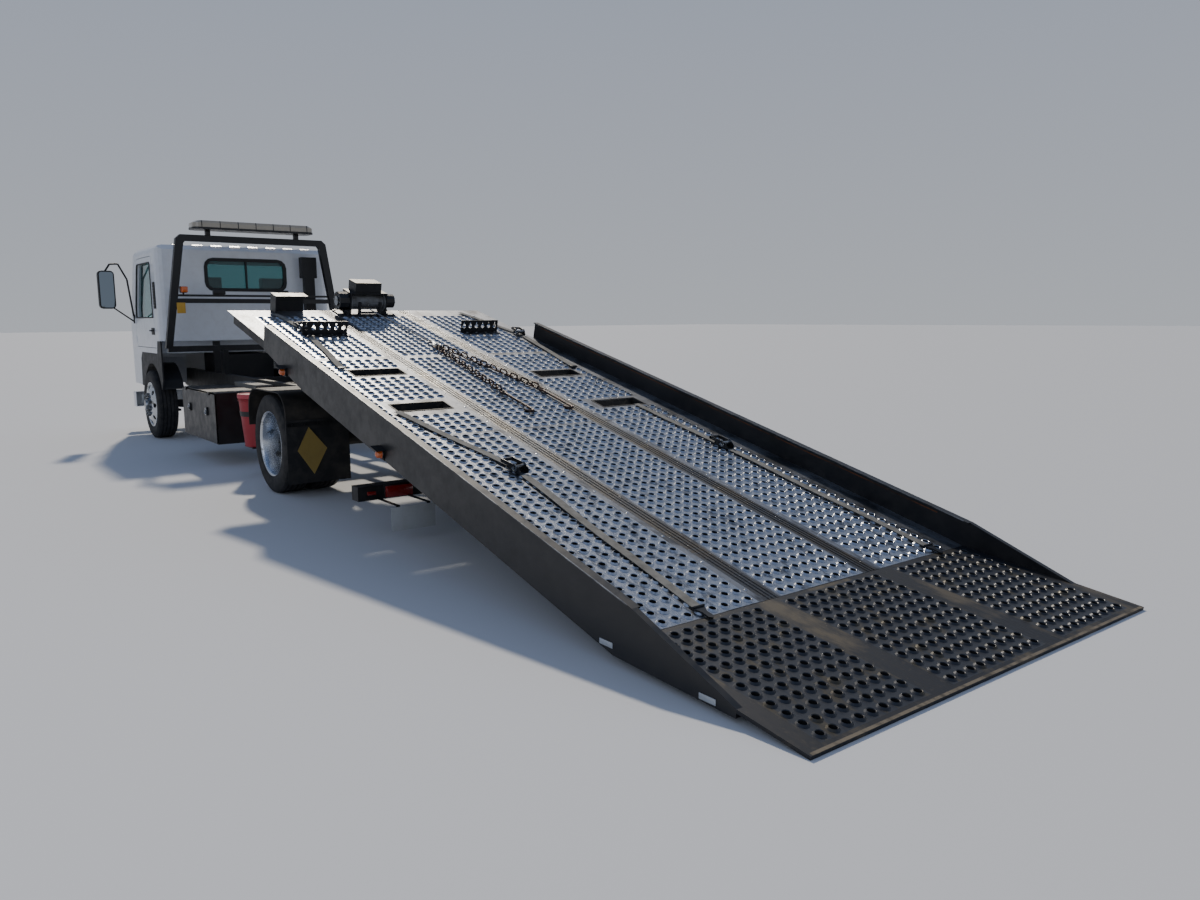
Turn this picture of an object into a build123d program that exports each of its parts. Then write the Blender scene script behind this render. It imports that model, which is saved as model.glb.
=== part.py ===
"""Flatbed tow truck, parked with its bed slid back and tilted, its tail on the ground.

The frame: +X runs to the cab, +Y to the driver's left, +Z up. The origin lies on the ground, half way
between the tail of the bed and the front bumper. All lengths are in millimetres and all angles in degrees.
"""
from build123d import *
import os
from math import atan2, cos, degrees, hypot, pi, radians, sin

# The whole truck: stations are measured forward from the tail edge of the bed.
OVERALL_LENGTH = 11300
GAP = 0.3
RUNNING_FIT = 0.08
FACETS = 28
RIM_FACETS = 16
BAR_SIDES = 12
TUBE_SIDES = 12
CORNER_STEPS = 3

# The bed: a flat deck with a ramp at its tail, in its own slope (u forward from the seam, w up from the deck).
RAMP_TILT = 7.5
DECK_TILT = 14.2
RAMP_LENGTH = 940
DECK_LENGTH = 5460
BED_HALF_WIDTH = 1220
RAIL_WIDTH = 30
DECK_SKIN = 5
RAMP_SKIN = 15
JOIST_DEPTH = 60
SILL_DEPTH = 60
SILL_Y = 420
SILL_WIDTH = 50
PANEL_JOINTS = (2300, 3980)
CHANNEL_Y = 363
CHANNEL_WIDTH = 96
RAIL_START = DECK_LENGTH - 1030
RAIL_RISE = 140
RAIL_END_ON_RAMP = 330

# The tilt frame, hinged behind the chassis, and the ways that the bed moves on it.
PIVOT_STATION = 4350
PIVOT_Z = 800
TILT_FRAME_REACH = 2300
TILT_RAIL_DEPTH = 80
TILT_RAIL_WIDTH = 60
SLIDE_TRAVEL = 2750
PAD = 3
SLIDE_W = -128
BARREL_R = 50
SLEEVE_R = 42
ROD_R = 33
BARREL_US = (DECK_LENGTH - 2060, DECK_LENGTH - 280)
SLEEVE_US = (DECK_LENGTH - 2020, DECK_LENGTH - 248)
ROD_US = (DECK_LENGTH - 1980, DECK_LENGTH - 50)

# Wheels, tyres and axles. What belongs to the cab is measured back from the bumper's face.
TYRE_RADIUS = 405
TYRE_WIDTH = 226
RIM_RADIUS = 260
RIM_WIDTH = 186
REAR_AXLE_STATION = 5690
FRONT_AXLE_BACK = 1140
REAR_OUTER_Y = 963
DUAL_SPACING = 263
FRONT_Y = 930
KINGPIN_Y = 790

# The chassis frame.
FRAME_TOP = 780
FRAME_DEPTH = 220
FRAME_HALF_WIDTH = 425
FRAME_REAR_STATION = 4480
FRAME_FRONT_BACK = 250

# The cab.
CAB_REAR_BACK = 1680
CAB_FRONT_BACK = 60
CAB_HALF_WIDTH = 1000
CAB_ROOF_Z = 2250
CAB_WALL = 55
CAB_CORNER = 80
CAB_ROOF_EDGE = 90
ROOF_RIBS = 8
RIB_PITCH = 210
RIB_HALF_WIDTH = 58
REAR_WINDOW_Y = (-450, 450)
REAR_WINDOW_Z = (1760, 2090)
WINDOW_CORNER = 75
TUNNEL_HALF_WIDTH = 480
TUNNEL_TOP = 1000
CAB_PIVOT_BACK = 150
CAB_PIVOT_Z = 600
CAB_PIN = 20
DOOR_GAP = 6
GLASS = 6

# Worked out from the above.
TAIL_X = -OVERALL_LENGTH / 2
AXLE_Z = TYRE_RADIUS * cos(pi / FACETS)
REAR_AXLE_X = TAIL_X + REAR_AXLE_STATION
NOSE_X = TAIL_X + OVERALL_LENGTH
FRONT_AXLE_X = NOSE_X - FRONT_AXLE_BACK
CAB_REAR_X = NOSE_X - CAB_REAR_BACK
CAB_FRONT_X = NOSE_X - CAB_FRONT_BACK
WHEELBASE = FRONT_AXLE_X - REAR_AXLE_X
DECK_HALF_WIDTH = BED_HALF_WIDTH - RAIL_WIDTH
JOIST_BOTTOM = -DECK_SKIN - JOIST_DEPTH
SILL_TOP = JOIST_BOTTOM - GAP
SILL_BOTTOM = JOIST_BOTTOM - SILL_DEPTH
TILT_TOP = SILL_BOTTOM - PAD
TILT_BOTTOM = TILT_TOP - TILT_RAIL_DEPTH
TAIL_TOP_Z = RAMP_SKIN * cos(radians(RAMP_TILT))
SEAM_X = TAIL_X + RAMP_LENGTH * cos(radians(RAMP_TILT))
SEAM_Z = TAIL_TOP_Z + RAMP_LENGTH * sin(radians(RAMP_TILT))
PIVOT_X = TAIL_X + PIVOT_STATION
CAB_PIVOT_X = NOSE_X - CAB_PIVOT_BACK


def slope(angle, x, z):
    """The frame of a sloping surface: local X runs up the slope, Y to the left and Z out of it."""
    a = radians(angle)
    return Plane(origin=(x, 0, z), x_dir=(cos(a), 0, sin(a)), z_dir=(-sin(a), 0, cos(a))).location


DECK = slope(DECK_TILT, SEAM_X, SEAM_Z)
RAMP = slope(RAMP_TILT, TAIL_X, TAIL_TOP_Z)


def on_slope(angle, x0, z0, u, w):
    """The X and Z of a point u along a slope and w above it."""
    a = radians(angle)
    return (x0 + u * cos(a) - w * sin(a), z0 + u * sin(a) + w * cos(a))


def deck_point(u, w):
    return on_slope(DECK_TILT, SEAM_X, SEAM_Z, u, w)


def ramp_point(u, w):
    return on_slope(RAMP_TILT, TAIL_X, TAIL_TOP_Z, u, w)


# The pivot as the deck's slope sees it.
_dx, _dz = PIVOT_X - SEAM_X, PIVOT_Z - SEAM_Z
PIVOT_U = _dx * cos(radians(DECK_TILT)) + _dz * sin(radians(DECK_TILT))
PIVOT_W = -_dx * sin(radians(DECK_TILT)) + _dz * cos(radians(DECK_TILT))


def block(x, y, z):
    """A box from its low and high limits along each axis."""
    size = [high - low for low, high in (x, y, z)]
    middle = [(high + low) / 2 for low, high in (x, y, z)]
    return Pos(*middle) * Box(*size)


def side_plate(points, y):
    """A plate with an outline in X and Z, from one Y to another."""
    outline = make_face(Plane.XZ * Polyline(*[(px, pz, 0) for px, pz in points], close=True))
    return Pos(0, y[1], 0) * extrude(outline, amount=y[1] - y[0], dir=(0, -1, 0))


def cross_plate(points, x):
    """A plate with an outline in Y and Z, from one X to another."""
    outline = make_face(Plane.YZ * Polyline(*[(py, pz, 0) for py, pz in points], close=True))
    return Pos(x[0], 0, 0) * extrude(outline, amount=x[1] - x[0], dir=(1, 0, 0))


def prism(radius, length, sides=BAR_SIDES):
    """A bar with flat sides, standing on its end."""
    return extrude(RegularPolygon(radius, sides), amount=length, dir=(0, 0, 1))


def bar(start, end, radius, sides=BAR_SIDES):
    """A bar with flat sides from one point to another."""
    run = Vector(*end) - Vector(*start)
    place = Plane(origin=start, z_dir=run).location
    return place * prism(radius, run.length, sides)


def cross_bar(radius, length, x, y, z, sides=TUBE_SIDES):
    """A bar with flat sides along Y, middled on a point."""
    return Pos(x, y + length / 2, z) * Rot(X=90) * prism(radius, length, sides)


def cross_pin(radius, length, x=0.0, z=0.0):
    """A round bar along Y, middled on it."""
    return Pos(x, 0, z) * Rot(X=90) * Cylinder(radius, length, align=(Align.CENTER,) * 3)


def flat_bore(radius, length, x, y, z, sides=BAR_SIDES):
    """The cutter for a flat-sided bore along Y, whose flats run just clear of a pin of this radius."""
    cutter = Rot(X=90) * Rot(Z=180 / sides) * prism((radius + RUNNING_FIT) / cos(pi / sides), length, sides)
    return Pos(x, y + length / 2, z) * cutter


def both_sides(shape):
    return [shape, mirror(shape, about=Plane.XZ)]


def joined(*pieces):
    """One piece welded from several that touch."""
    flat = []
    for piece in pieces:
        flat += list(piece) if isinstance(piece, (list, tuple)) else [piece]
    whole = flat[0]
    return whole.fuse(*flat[1:]).clean() if flat[1:] else whole


def rounded_outline(half_a, half_b, radius):
    """The corners of a rectangle whose own corners are rounded in a few flats."""
    points = []
    for sign_a, sign_b, start in ((1, 1, 0), (-1, 1, 90), (-1, -1, 180), (1, -1, 270)):
        for k in range(CORNER_STEPS + 1):
            turn = radians(start + 90 * k / CORNER_STEPS)
            points.append((sign_a * (half_a - radius) + radius * cos(turn), sign_b * (half_b - radius) + radius * sin(turn)))
    return points


def rounded_block(x, y, z, radius):
    """A box whose four edges along X are rounded."""
    points = rounded_outline((y[1] - y[0]) / 2, (z[1] - z[0]) / 2, radius)
    return Pos(0, (y[0] + y[1]) / 2, (z[0] + z[1]) / 2) * cross_plate(points, x)


def turned(profile, sides, x, y, z):
    """A ring about an axis along Y, with flat facets: profile is (y, radius) once round its section."""
    turns = [2 * pi * (k + 0.5) / sides for k in range(sides + 1)]
    turns[-1] = turns[0]
    loop = profile + profile[:1]
    faces = []
    for a, b in zip(turns, turns[1:]):
        for (y0, r0), (y1, r1) in zip(loop, loop[1:]):
            corners = [(y0, r0, a), (y1, r1, a), (y1, r1, b), (y0, r0, b)]
            ring = [(x + r * cos(t), y + s, z + r * sin(t)) for s, r, t in corners]
            faces.append(Face(Wire.make_polygon(ring, close=True)))
    solid = Solid(Shell(faces))
    return solid


PARTS = {}


def keep(name, *pieces):
    """Names a sub-part. Pieces that don't touch stay separate solids of one sub-part."""
    solids = []
    for piece in pieces:
        group = list(piece) if isinstance(piece, (list, tuple)) else [piece]
        for item in group:
            solids += list(item.solids())
    PARTS[name] = solids[0] if len(solids) == 1 else Compound(children=solids)


# Deck: aluminium panels in three lengths, left, centre and right, with strap slots in the outer ones.
SLOT_LENGTH = 140
SLOT_WIDTH = 385
SLOT_WALL = 4
SLOT_DEPTH = 62
SLOTS = {1: ((3530, 683), (2760, 715)), -1: ((3312, 735), (2560, 785))}
PANEL_EDGE = CHANNEL_Y + CHANNEL_WIDTH / 2
PANEL_SPACE = 1.5
CORNER_CUT = 60


def panel_lengths():
    """The low and high u of each deck panel, rear to front."""
    stops = (0, *PANEL_JOINTS, DECK_LENGTH)
    return [(a + PANEL_SPACE, b - PANEL_SPACE) for a, b in zip(stops, stops[1:])]


def outer_panels(side):
    panels = []
    inner, outer = PANEL_EDGE + PANEL_SPACE / 2, DECK_HALF_WIDTH
    for low, high in panel_lengths():
        y = sorted((side * inner, side * outer))
        panel = block((low, high), y, (-DECK_SKIN, 0))
        if high > PANEL_JOINTS[-1]:
            if low > PANEL_JOINTS[-2]:
                cut = [(high - 3 * CORNER_CUT, side * outer), (high, side * outer), (high, side * (outer - CORNER_CUT))]
                panel -= Pos(0, 0, -2 * DECK_SKIN) * extrude(make_face(Polyline(*cut, close=True)), amount=3 * DECK_SKIN, dir=(0, 0, 1))
        for start, middle in SLOTS[side]:
            if low < start < high:
                y_slot = (side * middle - SLOT_WIDTH / 2, side * middle + SLOT_WIDTH / 2)
                x_slot = (start, start + SLOT_LENGTH)
                wall = block((x_slot[0] - SLOT_WALL, x_slot[1] + SLOT_WALL), (y_slot[0] - SLOT_WALL, y_slot[1] + SLOT_WALL),
                             (-SLOT_DEPTH, -DECK_SKIN / 2))
                panel = (panel + wall) - block(x_slot, y_slot, (-2 * SLOT_DEPTH, DECK_SKIN))
        panels.append(DECK * panel)
    return panels


centre_y = (-CHANNEL_Y + CHANNEL_WIDTH / 2 + PANEL_SPACE / 2, CHANNEL_Y - CHANNEL_WIDTH / 2 - PANEL_SPACE / 2)
centre_panels = [DECK * block(x, centre_y, (-DECK_SKIN, 0)) for x in panel_lengths()]
keep("deck_panels", outer_panels(1), outer_panels(-1), centre_panels)

# Two grooved channels between the panels.
GROOVE_WIDTH = 14
GROOVE_DEPTH = 3


def channel(side):
    y = side * CHANNEL_Y
    strip = block((PANEL_SPACE, DECK_LENGTH - PANEL_SPACE), (y - CHANNEL_WIDTH / 2, y + CHANNEL_WIDTH / 2), (-DECK_SKIN, 0))
    for shift in (-CHANNEL_WIDTH / 4, 0, CHANNEL_WIDTH / 4):
        strip -= block((0, DECK_LENGTH), (y + shift - GROOVE_WIDTH / 2, y + shift + GROOVE_WIDTH / 2), (-GROOVE_DEPTH, 1))
    return DECK * strip


keep("deck_channels", channel(1), channel(-1))

# Ramp plate: dark steel, the full width of the bed where the side rails have ended.
ramp_outline = [(0, -BED_HALF_WIDTH), (RAIL_END_ON_RAMP - GAP, -BED_HALF_WIDTH), (RAIL_END_ON_RAMP - GAP, -DECK_HALF_WIDTH), (RAMP_LENGTH - PANEL_SPACE, -DECK_HALF_WIDTH),
                (RAMP_LENGTH - PANEL_SPACE, DECK_HALF_WIDTH), (RAIL_END_ON_RAMP - GAP, DECK_HALF_WIDTH), (RAIL_END_ON_RAMP - GAP, BED_HALF_WIDTH), (0, BED_HALF_WIDTH)]
RAMP_EDGE = 70
RAMP_PLATE = 8
ramp_plate = extrude(make_face(Polyline(*ramp_outline, close=True)), amount=-RAMP_SKIN, dir=(0, 0, 1))
ramp_plate -= block((RAMP_EDGE, RAMP_LENGTH + 1), (-BED_HALF_WIDTH - 1, BED_HALF_WIDTH + 1), (-RAMP_SKIN - 1, -RAMP_PLATE))

# Bed frame: joists across, two sills along, edge channels, and ribs under the ramp.
JOISTS = (40, 620, 1180, 1740, 2300, 3060, 3980, DECK_LENGTH - 1010, DECK_LENGTH - 530, DECK_LENGTH - 30)
JOIST_WIDTH = 60
EDGE_WIDTH = 40
RIB_WIDTH = 12
RIB_YS = [share * (BED_HALF_WIDTH - 70) for share in (-1, -0.7, -0.365, 0, 0.365, 0.7, 1)]


def bed_frame():
    """Joists, edge channels and sills, each its own solid: they are bolted, and stay open between."""
    pieces = []
    inner = DECK_HALF_WIDTH - EDGE_WIDTH - GAP
    for u in JOISTS:
        pieces.append(block((u - JOIST_WIDTH / 2, u + JOIST_WIDTH / 2), (-inner, inner), (JOIST_BOTTOM, -DECK_SKIN)))
    for side in (1, -1):
        y = sorted((side * (DECK_HALF_WIDTH - EDGE_WIDTH), side * DECK_HALF_WIDTH))
        pieces.append(block((JOISTS[0] - JOIST_WIDTH / 2, DECK_LENGTH), y, (JOIST_BOTTOM, -DECK_SKIN)))
        sill = [(JOISTS[0] - JOIST_WIDTH / 2, SILL_TOP), (420, SILL_BOTTOM), (DECK_LENGTH - 60, SILL_BOTTOM), (DECK_LENGTH, SILL_TOP)]
        pieces.append(side_plate(sill, (side * SILL_Y - SILL_WIDTH / 2, side * SILL_Y + SILL_WIDTH / 2)))
    pieces.append(block((ROD_US[1], ROD_US[1] + 15), (-60, 60), (SLIDE_W - 40, SILL_TOP)))
    cut = [(DECK_LENGTH - 3 * CORNER_CUT, DECK_HALF_WIDTH), (DECK_LENGTH + 1, DECK_HALF_WIDTH), (DECK_LENGTH + 1, DECK_HALF_WIDTH - CORNER_CUT)]
    corner = Pos(0, 0, -2 * JOIST_DEPTH) * extrude(make_face(Polyline(*cut, close=True)), amount=3 * JOIST_DEPTH, dir=(0, 0, 1))
    corners = both_sides(corner)
    trimmed = []
    for piece in pieces:
        for cutter in corners:
            piece = piece - cutter
        trimmed.append(DECK * piece)
    return trimmed


def ramp_ribs():
    rib = [(RAMP_EDGE + 10, -RAMP_PLATE), (RAMP_LENGTH - 8, -RAMP_PLATE), (RAMP_LENGTH - 14, -66), (RAMP_LENGTH - 60, -62)]
    ribs = [side_plate(rib, (y - RIB_WIDTH / 2, y + RIB_WIDTH / 2)) for y in RIB_YS]
    header = block((RAMP_LENGTH - 40, RAMP_LENGTH - 28), (-DECK_HALF_WIDTH, DECK_HALF_WIDTH), (-60, -RAMP_PLATE))
    return joined(header, *ribs)


keep("bed_frame", *bed_frame())
keep("ramp", RAMP * joined(ramp_plate, ramp_ribs()))

# Side rails: a dark plate on each side with a folded top, tapering down to the ramp.
RAIL_DROP_FRONT = 45
RAIL_DROP = 110
RAIL_FOLD = 8
RAIL_FOLD_WIDTH = 45


def side_rail(side):
    end_top = ramp_point(RAIL_END_ON_RAMP, 0)
    low = ramp_point(RAIL_END_ON_RAMP, -36)
    outline = [deck_point(RAIL_START, RAIL_RISE), deck_point(RAIL_START, -RAIL_DROP_FRONT), deck_point(3600, -RAIL_DROP), deck_point(60, -RAIL_DROP),
               low, end_top, deck_point(0, RAIL_RISE)]
    plate = side_plate(outline, sorted((side * DECK_HALF_WIDTH, side * BED_HALF_WIDTH)))
    fold_y = sorted((side * (BED_HALF_WIDTH - RAIL_FOLD_WIDTH), side * BED_HALF_WIDTH))
    fold = DECK * block((0, RAIL_START), fold_y, (RAIL_RISE - RAIL_FOLD, RAIL_RISE))
    return joined(plate, fold)


# Amber side markers on brackets with a bright top plate, two each side, at the panel joints.
MARKER_US = (2294, 3951)
MARKER_OUT = 62
markers, marker_brackets = [], []
for u in MARKER_US:
    for side in (1, -1):
        face = side * (BED_HALF_WIDTH + GAP)
        y = sorted((face, face + side * MARKER_OUT))
        cover = block((u - 45, u + 45), y, (-44, -40))
        back = block((u - 30, u + 30), sorted((face, face + side * 4)), (-110, -40))
        marker_brackets.append(DECK * joined(cover, back))
        lens = Pos(u, face + side * (4 + GAP), -78) * Rot(X=-90 * side) * prism(28, 42)
        markers.append(DECK * lens)
keep("side_rails", side_rail(1), side_rail(-1), marker_brackets)
keep("marker_lamps", markers)

# Keyhole racks: an upright flange with a row of keyholes and a foot on the deck, near the front.
RACK_U = DECK_LENGTH - 820
RACK_HEIGHT = 110
RACK_PLATE = 8
RACK_WIDTH = 370
RACK_YS = (0.563 * DECK_HALF_WIDTH, -0.626 * DECK_HALF_WIDTH)
KEYHOLES = 6


def keyhole_rack(y):
    upright = block((RACK_U, RACK_U + RACK_PLATE), (y - RACK_WIDTH / 2, y + RACK_WIDTH / 2), (GAP, RACK_HEIGHT))
    foot = block((RACK_U - 60, RACK_U + RACK_PLATE), (y - RACK_WIDTH / 2, y + RACK_WIDTH / 2), (GAP, RACK_PLATE))
    rack = upright + foot
    pitch = RACK_WIDTH / KEYHOLES
    for k in range(KEYHOLES):
        middle = y + (k - (KEYHOLES - 1) / 2) * pitch
        eye = Pos(RACK_U + RACK_PLATE / 2, middle, RACK_HEIGHT * 0.52) * Rot(Y=90) * extrude(RegularPolygon(19, 6), amount=RACK_PLATE, both=True)
        slot = block((RACK_U - 1, RACK_U + RACK_PLATE + 1), (middle - 6, middle + 6), (RACK_HEIGHT * 0.52, RACK_HEIGHT * 0.86))
        rack = rack - eye - slot
    return DECK * rack


# Winch on the front of the deck, its roller guide, and a folded cover on the left corner.
WINCH_U = DECK_LENGTH - 125
WINCH_Y = 40
WINCH_WIDTH = 520


def winch():
    base = block((WINCH_U - 90, WINCH_U + 110), (WINCH_Y - WINCH_WIDTH / 2, WINCH_Y + WINCH_WIDTH / 2), (GAP, 12))
    cheeks = [block((WINCH_U - 85, WINCH_U + 100), (y - 6, y + 6), (12, 200)) for y in (WINCH_Y - 165, WINCH_Y + 165)]
    motor = cross_bar(62, 88, WINCH_U, WINCH_Y - 215, 118)
    gearbox = cross_bar(82, 88, WINCH_U, WINCH_Y + 215, 118)
    cover = block((WINCH_U - 60, WINCH_U + 100), (WINCH_Y - 120, WINCH_Y + 120), (200, 290))
    bridge = block((WINCH_U - 80, WINCH_U + 100), (WINCH_Y - 171, WINCH_Y + 171), (192, 204))
    return DECK * joined(base, *cheeks, motor, gearbox, cover, bridge)


def winch_drum():
    return DECK * cross_bar(60, 318, WINCH_U, WINCH_Y, 110)


ROLLER_U = WINCH_U - 110
ROLLER_SPAN = 190
HOOK_AT = (4180, -90)


def roller_guide():
    posts = [Pos(ROLLER_U, WINCH_Y + s * ROLLER_SPAN / 2, GAP) * prism(16, 130, 8) for s in (1, -1)]
    rods = [cross_bar(9, ROLLER_SPAN + 10, ROLLER_U, WINCH_Y, z, 8) for z in (38, 92)]
    return DECK * joined(*posts, *rods)


def corner_cover():
    u, y = DECK_LENGTH - 80, DECK_HALF_WIDTH - 490
    top = block((u - 60, u + 70), (y - 140, y + 140), (150, 156))
    side = block((u - 60, u + 70), (y + 128, y + 140), (GAP, 156))
    back = block((u + 58, u + 70), (y - 140, y + 140), (GAP, 156))
    return DECK * joined(top, side, back)


ROPE_R = 5.5
ROPE_W = 66
ROPE_START = (WINCH_U - 72, 104)
ROPE_END = (HOOK_AT[0] + 131.2, 16)


def rope():
    """The winch rope: from the drum through the roller guide to the hook's shank."""
    first = bar((ROPE_START[0], WINCH_Y, ROPE_START[1]), (ROLLER_U, WINCH_Y, ROPE_W), ROPE_R, 8)
    second = bar((ROLLER_U, WINCH_Y, ROPE_W), (ROPE_END[0], HOOK_AT[1], ROPE_END[1]), ROPE_R, 8)
    return DECK * joined(first, second)


keep("winch", winch(), roller_guide())
keep("winch_rope", rope())
keep("winch_drum", winch_drum())
keep("deck_fittings", *[keyhole_rack(y) for y in RACK_YS], corner_cover())

# Tow chain: two legs of open links from the winch hook to long hooks, lying on the deck.
LINK_PITCH = 57
LINK_LONG = 84
LINK_WIDE = 46
LINK_BAR = 12
CHAIN_LEGS = (((4140, -60), (2980, 10)), ((4140, -110), (2980, -318)))


def link(u, y, w, heading, flat):
    """A link as a long four-cornered ring, lying flat or standing on edge."""
    ring = Box(LINK_LONG, LINK_WIDE, LINK_BAR) - Box(LINK_LONG - 2 * LINK_BAR, LINK_WIDE - 2 * LINK_BAR, 2 * LINK_BAR)
    return DECK * Pos(u, y, w) * Rot(Z=heading) * Rot(X=0 if flat else 90) * ring


def chain_leg(start, end):
    (u0, y0), (u1, y1) = start, end
    run = hypot(u1 - u0, y1 - y0)
    count = int(run / LINK_PITCH)
    heading = degrees(atan2(y1 - y0, u1 - u0))
    links = []
    for k in range(count + 1):
        share = k / count
        flat = k % 2 == 0
        height = GAP + LINK_BAR + GAP + LINK_BAR / 2 if flat else GAP + LINK_WIDE / 2
        links.append(link(u0 + share * (u1 - u0), y0 + share * (y1 - y0), height, heading, flat))
    return links



def long_hook(u, y, heading):
    """A long J hook lying on the deck: a shank with a bent tip."""
    shank = block((-440, -45), (-9, 9), (GAP, 18))
    tip = block((-440, -424), (-9, 60), (GAP, 18))
    point = block((-424, -380), (44, 60), (GAP, 18))
    return DECK * Pos(u, y, 0) * Rot(Z=heading) * joined(shank, tip, point)



def winch_hook():
    ring = Pos(*HOOK_AT, 1) * prism(42, 26) - Pos(*HOOK_AT, 0) * prism(24, 30)
    shank = block((HOOK_AT[0] + 38, HOOK_AT[0] + 130), (HOOK_AT[1] - 12, HOOK_AT[1] + 12), (3, 25))
    return DECK * joined(ring, shank)


keep("tow_chain", *[chain_leg(*leg) for leg in CHAIN_LEGS], *[long_hook(end[0], end[1], 0) for _, end in CHAIN_LEGS], winch_hook())

# Tie-down straps on the deck, with ratchets: flat webbing from slot to ramp hook.
STRAP_WIDTH = 50
STRAP_THICK = 4
LEFT_TOP = (DECK_LENGTH - 160, DECK_HALF_WIDTH - 340)
RIGHT_TOP = (DECK_LENGTH - 130, 265 - DECK_HALF_WIDTH)
STRAP_RUNS = (
    (LEFT_TOP, (4846, DECK_HALF_WIDTH - 398)),
    ((4550, DECK_HALF_WIDTH - 375), (3700, DECK_HALF_WIDTH - 285)),
    ((2740, DECK_HALF_WIDTH - 260), (1734, DECK_HALF_WIDTH - 490)),
    ((1588, DECK_HALF_WIDTH - 488), (40, DECK_HALF_WIDTH - 415)),
    (RIGHT_TOP, (4604, 95 - DECK_HALF_WIDTH)),
    ((4446, 90 - DECK_HALF_WIDTH), (3500, 205 - DECK_HALF_WIDTH)),
    ((2540, 310 - DECK_HALF_WIDTH), (1710, 280 - DECK_HALF_WIDTH)),
    ((1574, 278 - DECK_HALF_WIDTH), (40, 250 - DECK_HALF_WIDTH)),
)
RATCHETS = (
    (4768, DECK_HALF_WIDTH - 394, 5),
    (1660, DECK_HALF_WIDTH - 490, 8),
    (4525, 92 - DECK_HALF_WIDTH, -10),
    (1640, 279 - DECK_HALF_WIDTH, 0),
)


def strap(start, end):
    (u0, y0), (u1, y1) = start, end
    run = hypot(u1 - u0, y1 - y0)
    heading = degrees(atan2(y1 - y0, u1 - u0))
    return DECK * Pos(u0, y0, 0) * Rot(Z=heading) * block((0, run), (-STRAP_WIDTH / 2, STRAP_WIDTH / 2), (GAP, GAP + STRAP_THICK))


def ratchet(u, y, heading):
    frame = block((-58, 58), (-34, 34), (GAP, 14)) + block((-50, 40), (-34, -28), (14, 48)) + block((-50, 40), (28, 34), (14, 48))
    spindle = cross_bar(11, 60, -10, 0, 34, 6)
    return DECK * Pos(u, y, 0) * Rot(Z=heading) * joined(frame, spindle)


keep("strap_webbing", *[strap(*run) for run in STRAP_RUNS])
keep("strap_ratchets", *[ratchet(*place) for place in RATCHETS])

# Slide cylinder: a barrel between the tilt rails, a sleeve and a rod that pushes a plate under the bed.
def along_deck(u0, u1, radius, w):
    return Pos(u0, 0, w) * Rot(Y=90) * prism(radius, u1 - u0, TUBE_SIDES)


# Tilt frame: two rails on the hinge behind the chassis, cross tubes and lugs for the lift cylinders.
CYLINDER_Y = 270
PIVOT_PIN = 24
PIVOT_BOSS = 46
ROD_EYE = (TILT_FRAME_REACH - 200, -60)
HEAD_CROSS = TILT_FRAME_REACH - 140
ROD_PIN = 18
LUG = 12


def tilt_point(d, w):
    """A point d forward of the pivot along the bed's slope and w above it."""
    return deck_point(PIVOT_U + d, PIVOT_W + w)


def tilt_frame():
    pieces = []
    u0, u1 = PIVOT_U - 80, PIVOT_U + TILT_FRAME_REACH
    for side in (1, -1):
        y = (side * SILL_Y - TILT_RAIL_WIDTH / 2, side * SILL_Y + TILT_RAIL_WIDTH / 2)
        pieces.append(block((u0, u1), y, (TILT_BOTTOM, TILT_TOP)))
    inner = SILL_Y - TILT_RAIL_WIDTH / 2
    for d, depth in ((330, 50), (TILT_FRAME_REACH / 2, 50), (HEAD_CROSS, 32)):
        pieces.append(block((PIVOT_U + d - 25, PIVOT_U + d + 25), (-inner, inner), (TILT_BOTTOM, TILT_BOTTOM + depth)))
    eye_u, eye_w = PIVOT_U + ROD_EYE[0], PIVOT_W + ROD_EYE[1]
    for side in (1, -1):
        for shift in (-1, 1):
            y = side * CYLINDER_Y + shift * 34
            top = TILT_BOTTOM + 20
            lug = [
                (eye_u - 30, eye_w - 30),
                (eye_u + 30, eye_w - 30),
                (PIVOT_U + HEAD_CROSS, top),
                (PIVOT_U + HEAD_CROSS - 24, top),
                (eye_u - 30, eye_w + 20),
            ]
            pieces.append(side_plate(lug, (y - LUG / 2, y + LUG / 2)))
    for side in (1, -1):
        pieces.append(cross_bar(PIVOT_BOSS, TILT_RAIL_WIDTH, PIVOT_U, side * SILL_Y, PIVOT_W))
    frame = joined(*pieces)
    frame -= along_deck(BARREL_US[0], BARREL_US[1], BARREL_R + GAP, SLIDE_W)
    # The left bore is truly round, to mark the axis; the right one has flat sides, to spare facets.
    frame -= Pos(0, SILL_Y, 0) * cross_pin(PIVOT_PIN + RUNNING_FIT, 2 * TILT_RAIL_WIDTH, PIVOT_U, PIVOT_W)
    frame -= flat_bore(PIVOT_PIN, 2 * TILT_RAIL_WIDTH, PIVOT_U, -SILL_Y, PIVOT_W)
    return DECK * frame


keep("tilt_frame", tilt_frame())

barrel = along_deck(*BARREL_US, BARREL_R, SLIDE_W) - along_deck(BARREL_US[0] + 25, BARREL_US[1] + 10, SLEEVE_R + RUNNING_FIT, SLIDE_W)
sleeve = along_deck(*SLEEVE_US, SLEEVE_R, SLIDE_W) - along_deck(SLEEVE_US[0] - 10, SLEEVE_US[1] + 10, ROD_R + RUNNING_FIT, SLIDE_W)
keep("slide_barrel", DECK * barrel)
keep("slide_sleeve", DECK * sleeve)
keep("slide_rod", DECK * along_deck(*ROD_US, ROD_R, SLIDE_W))

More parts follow.
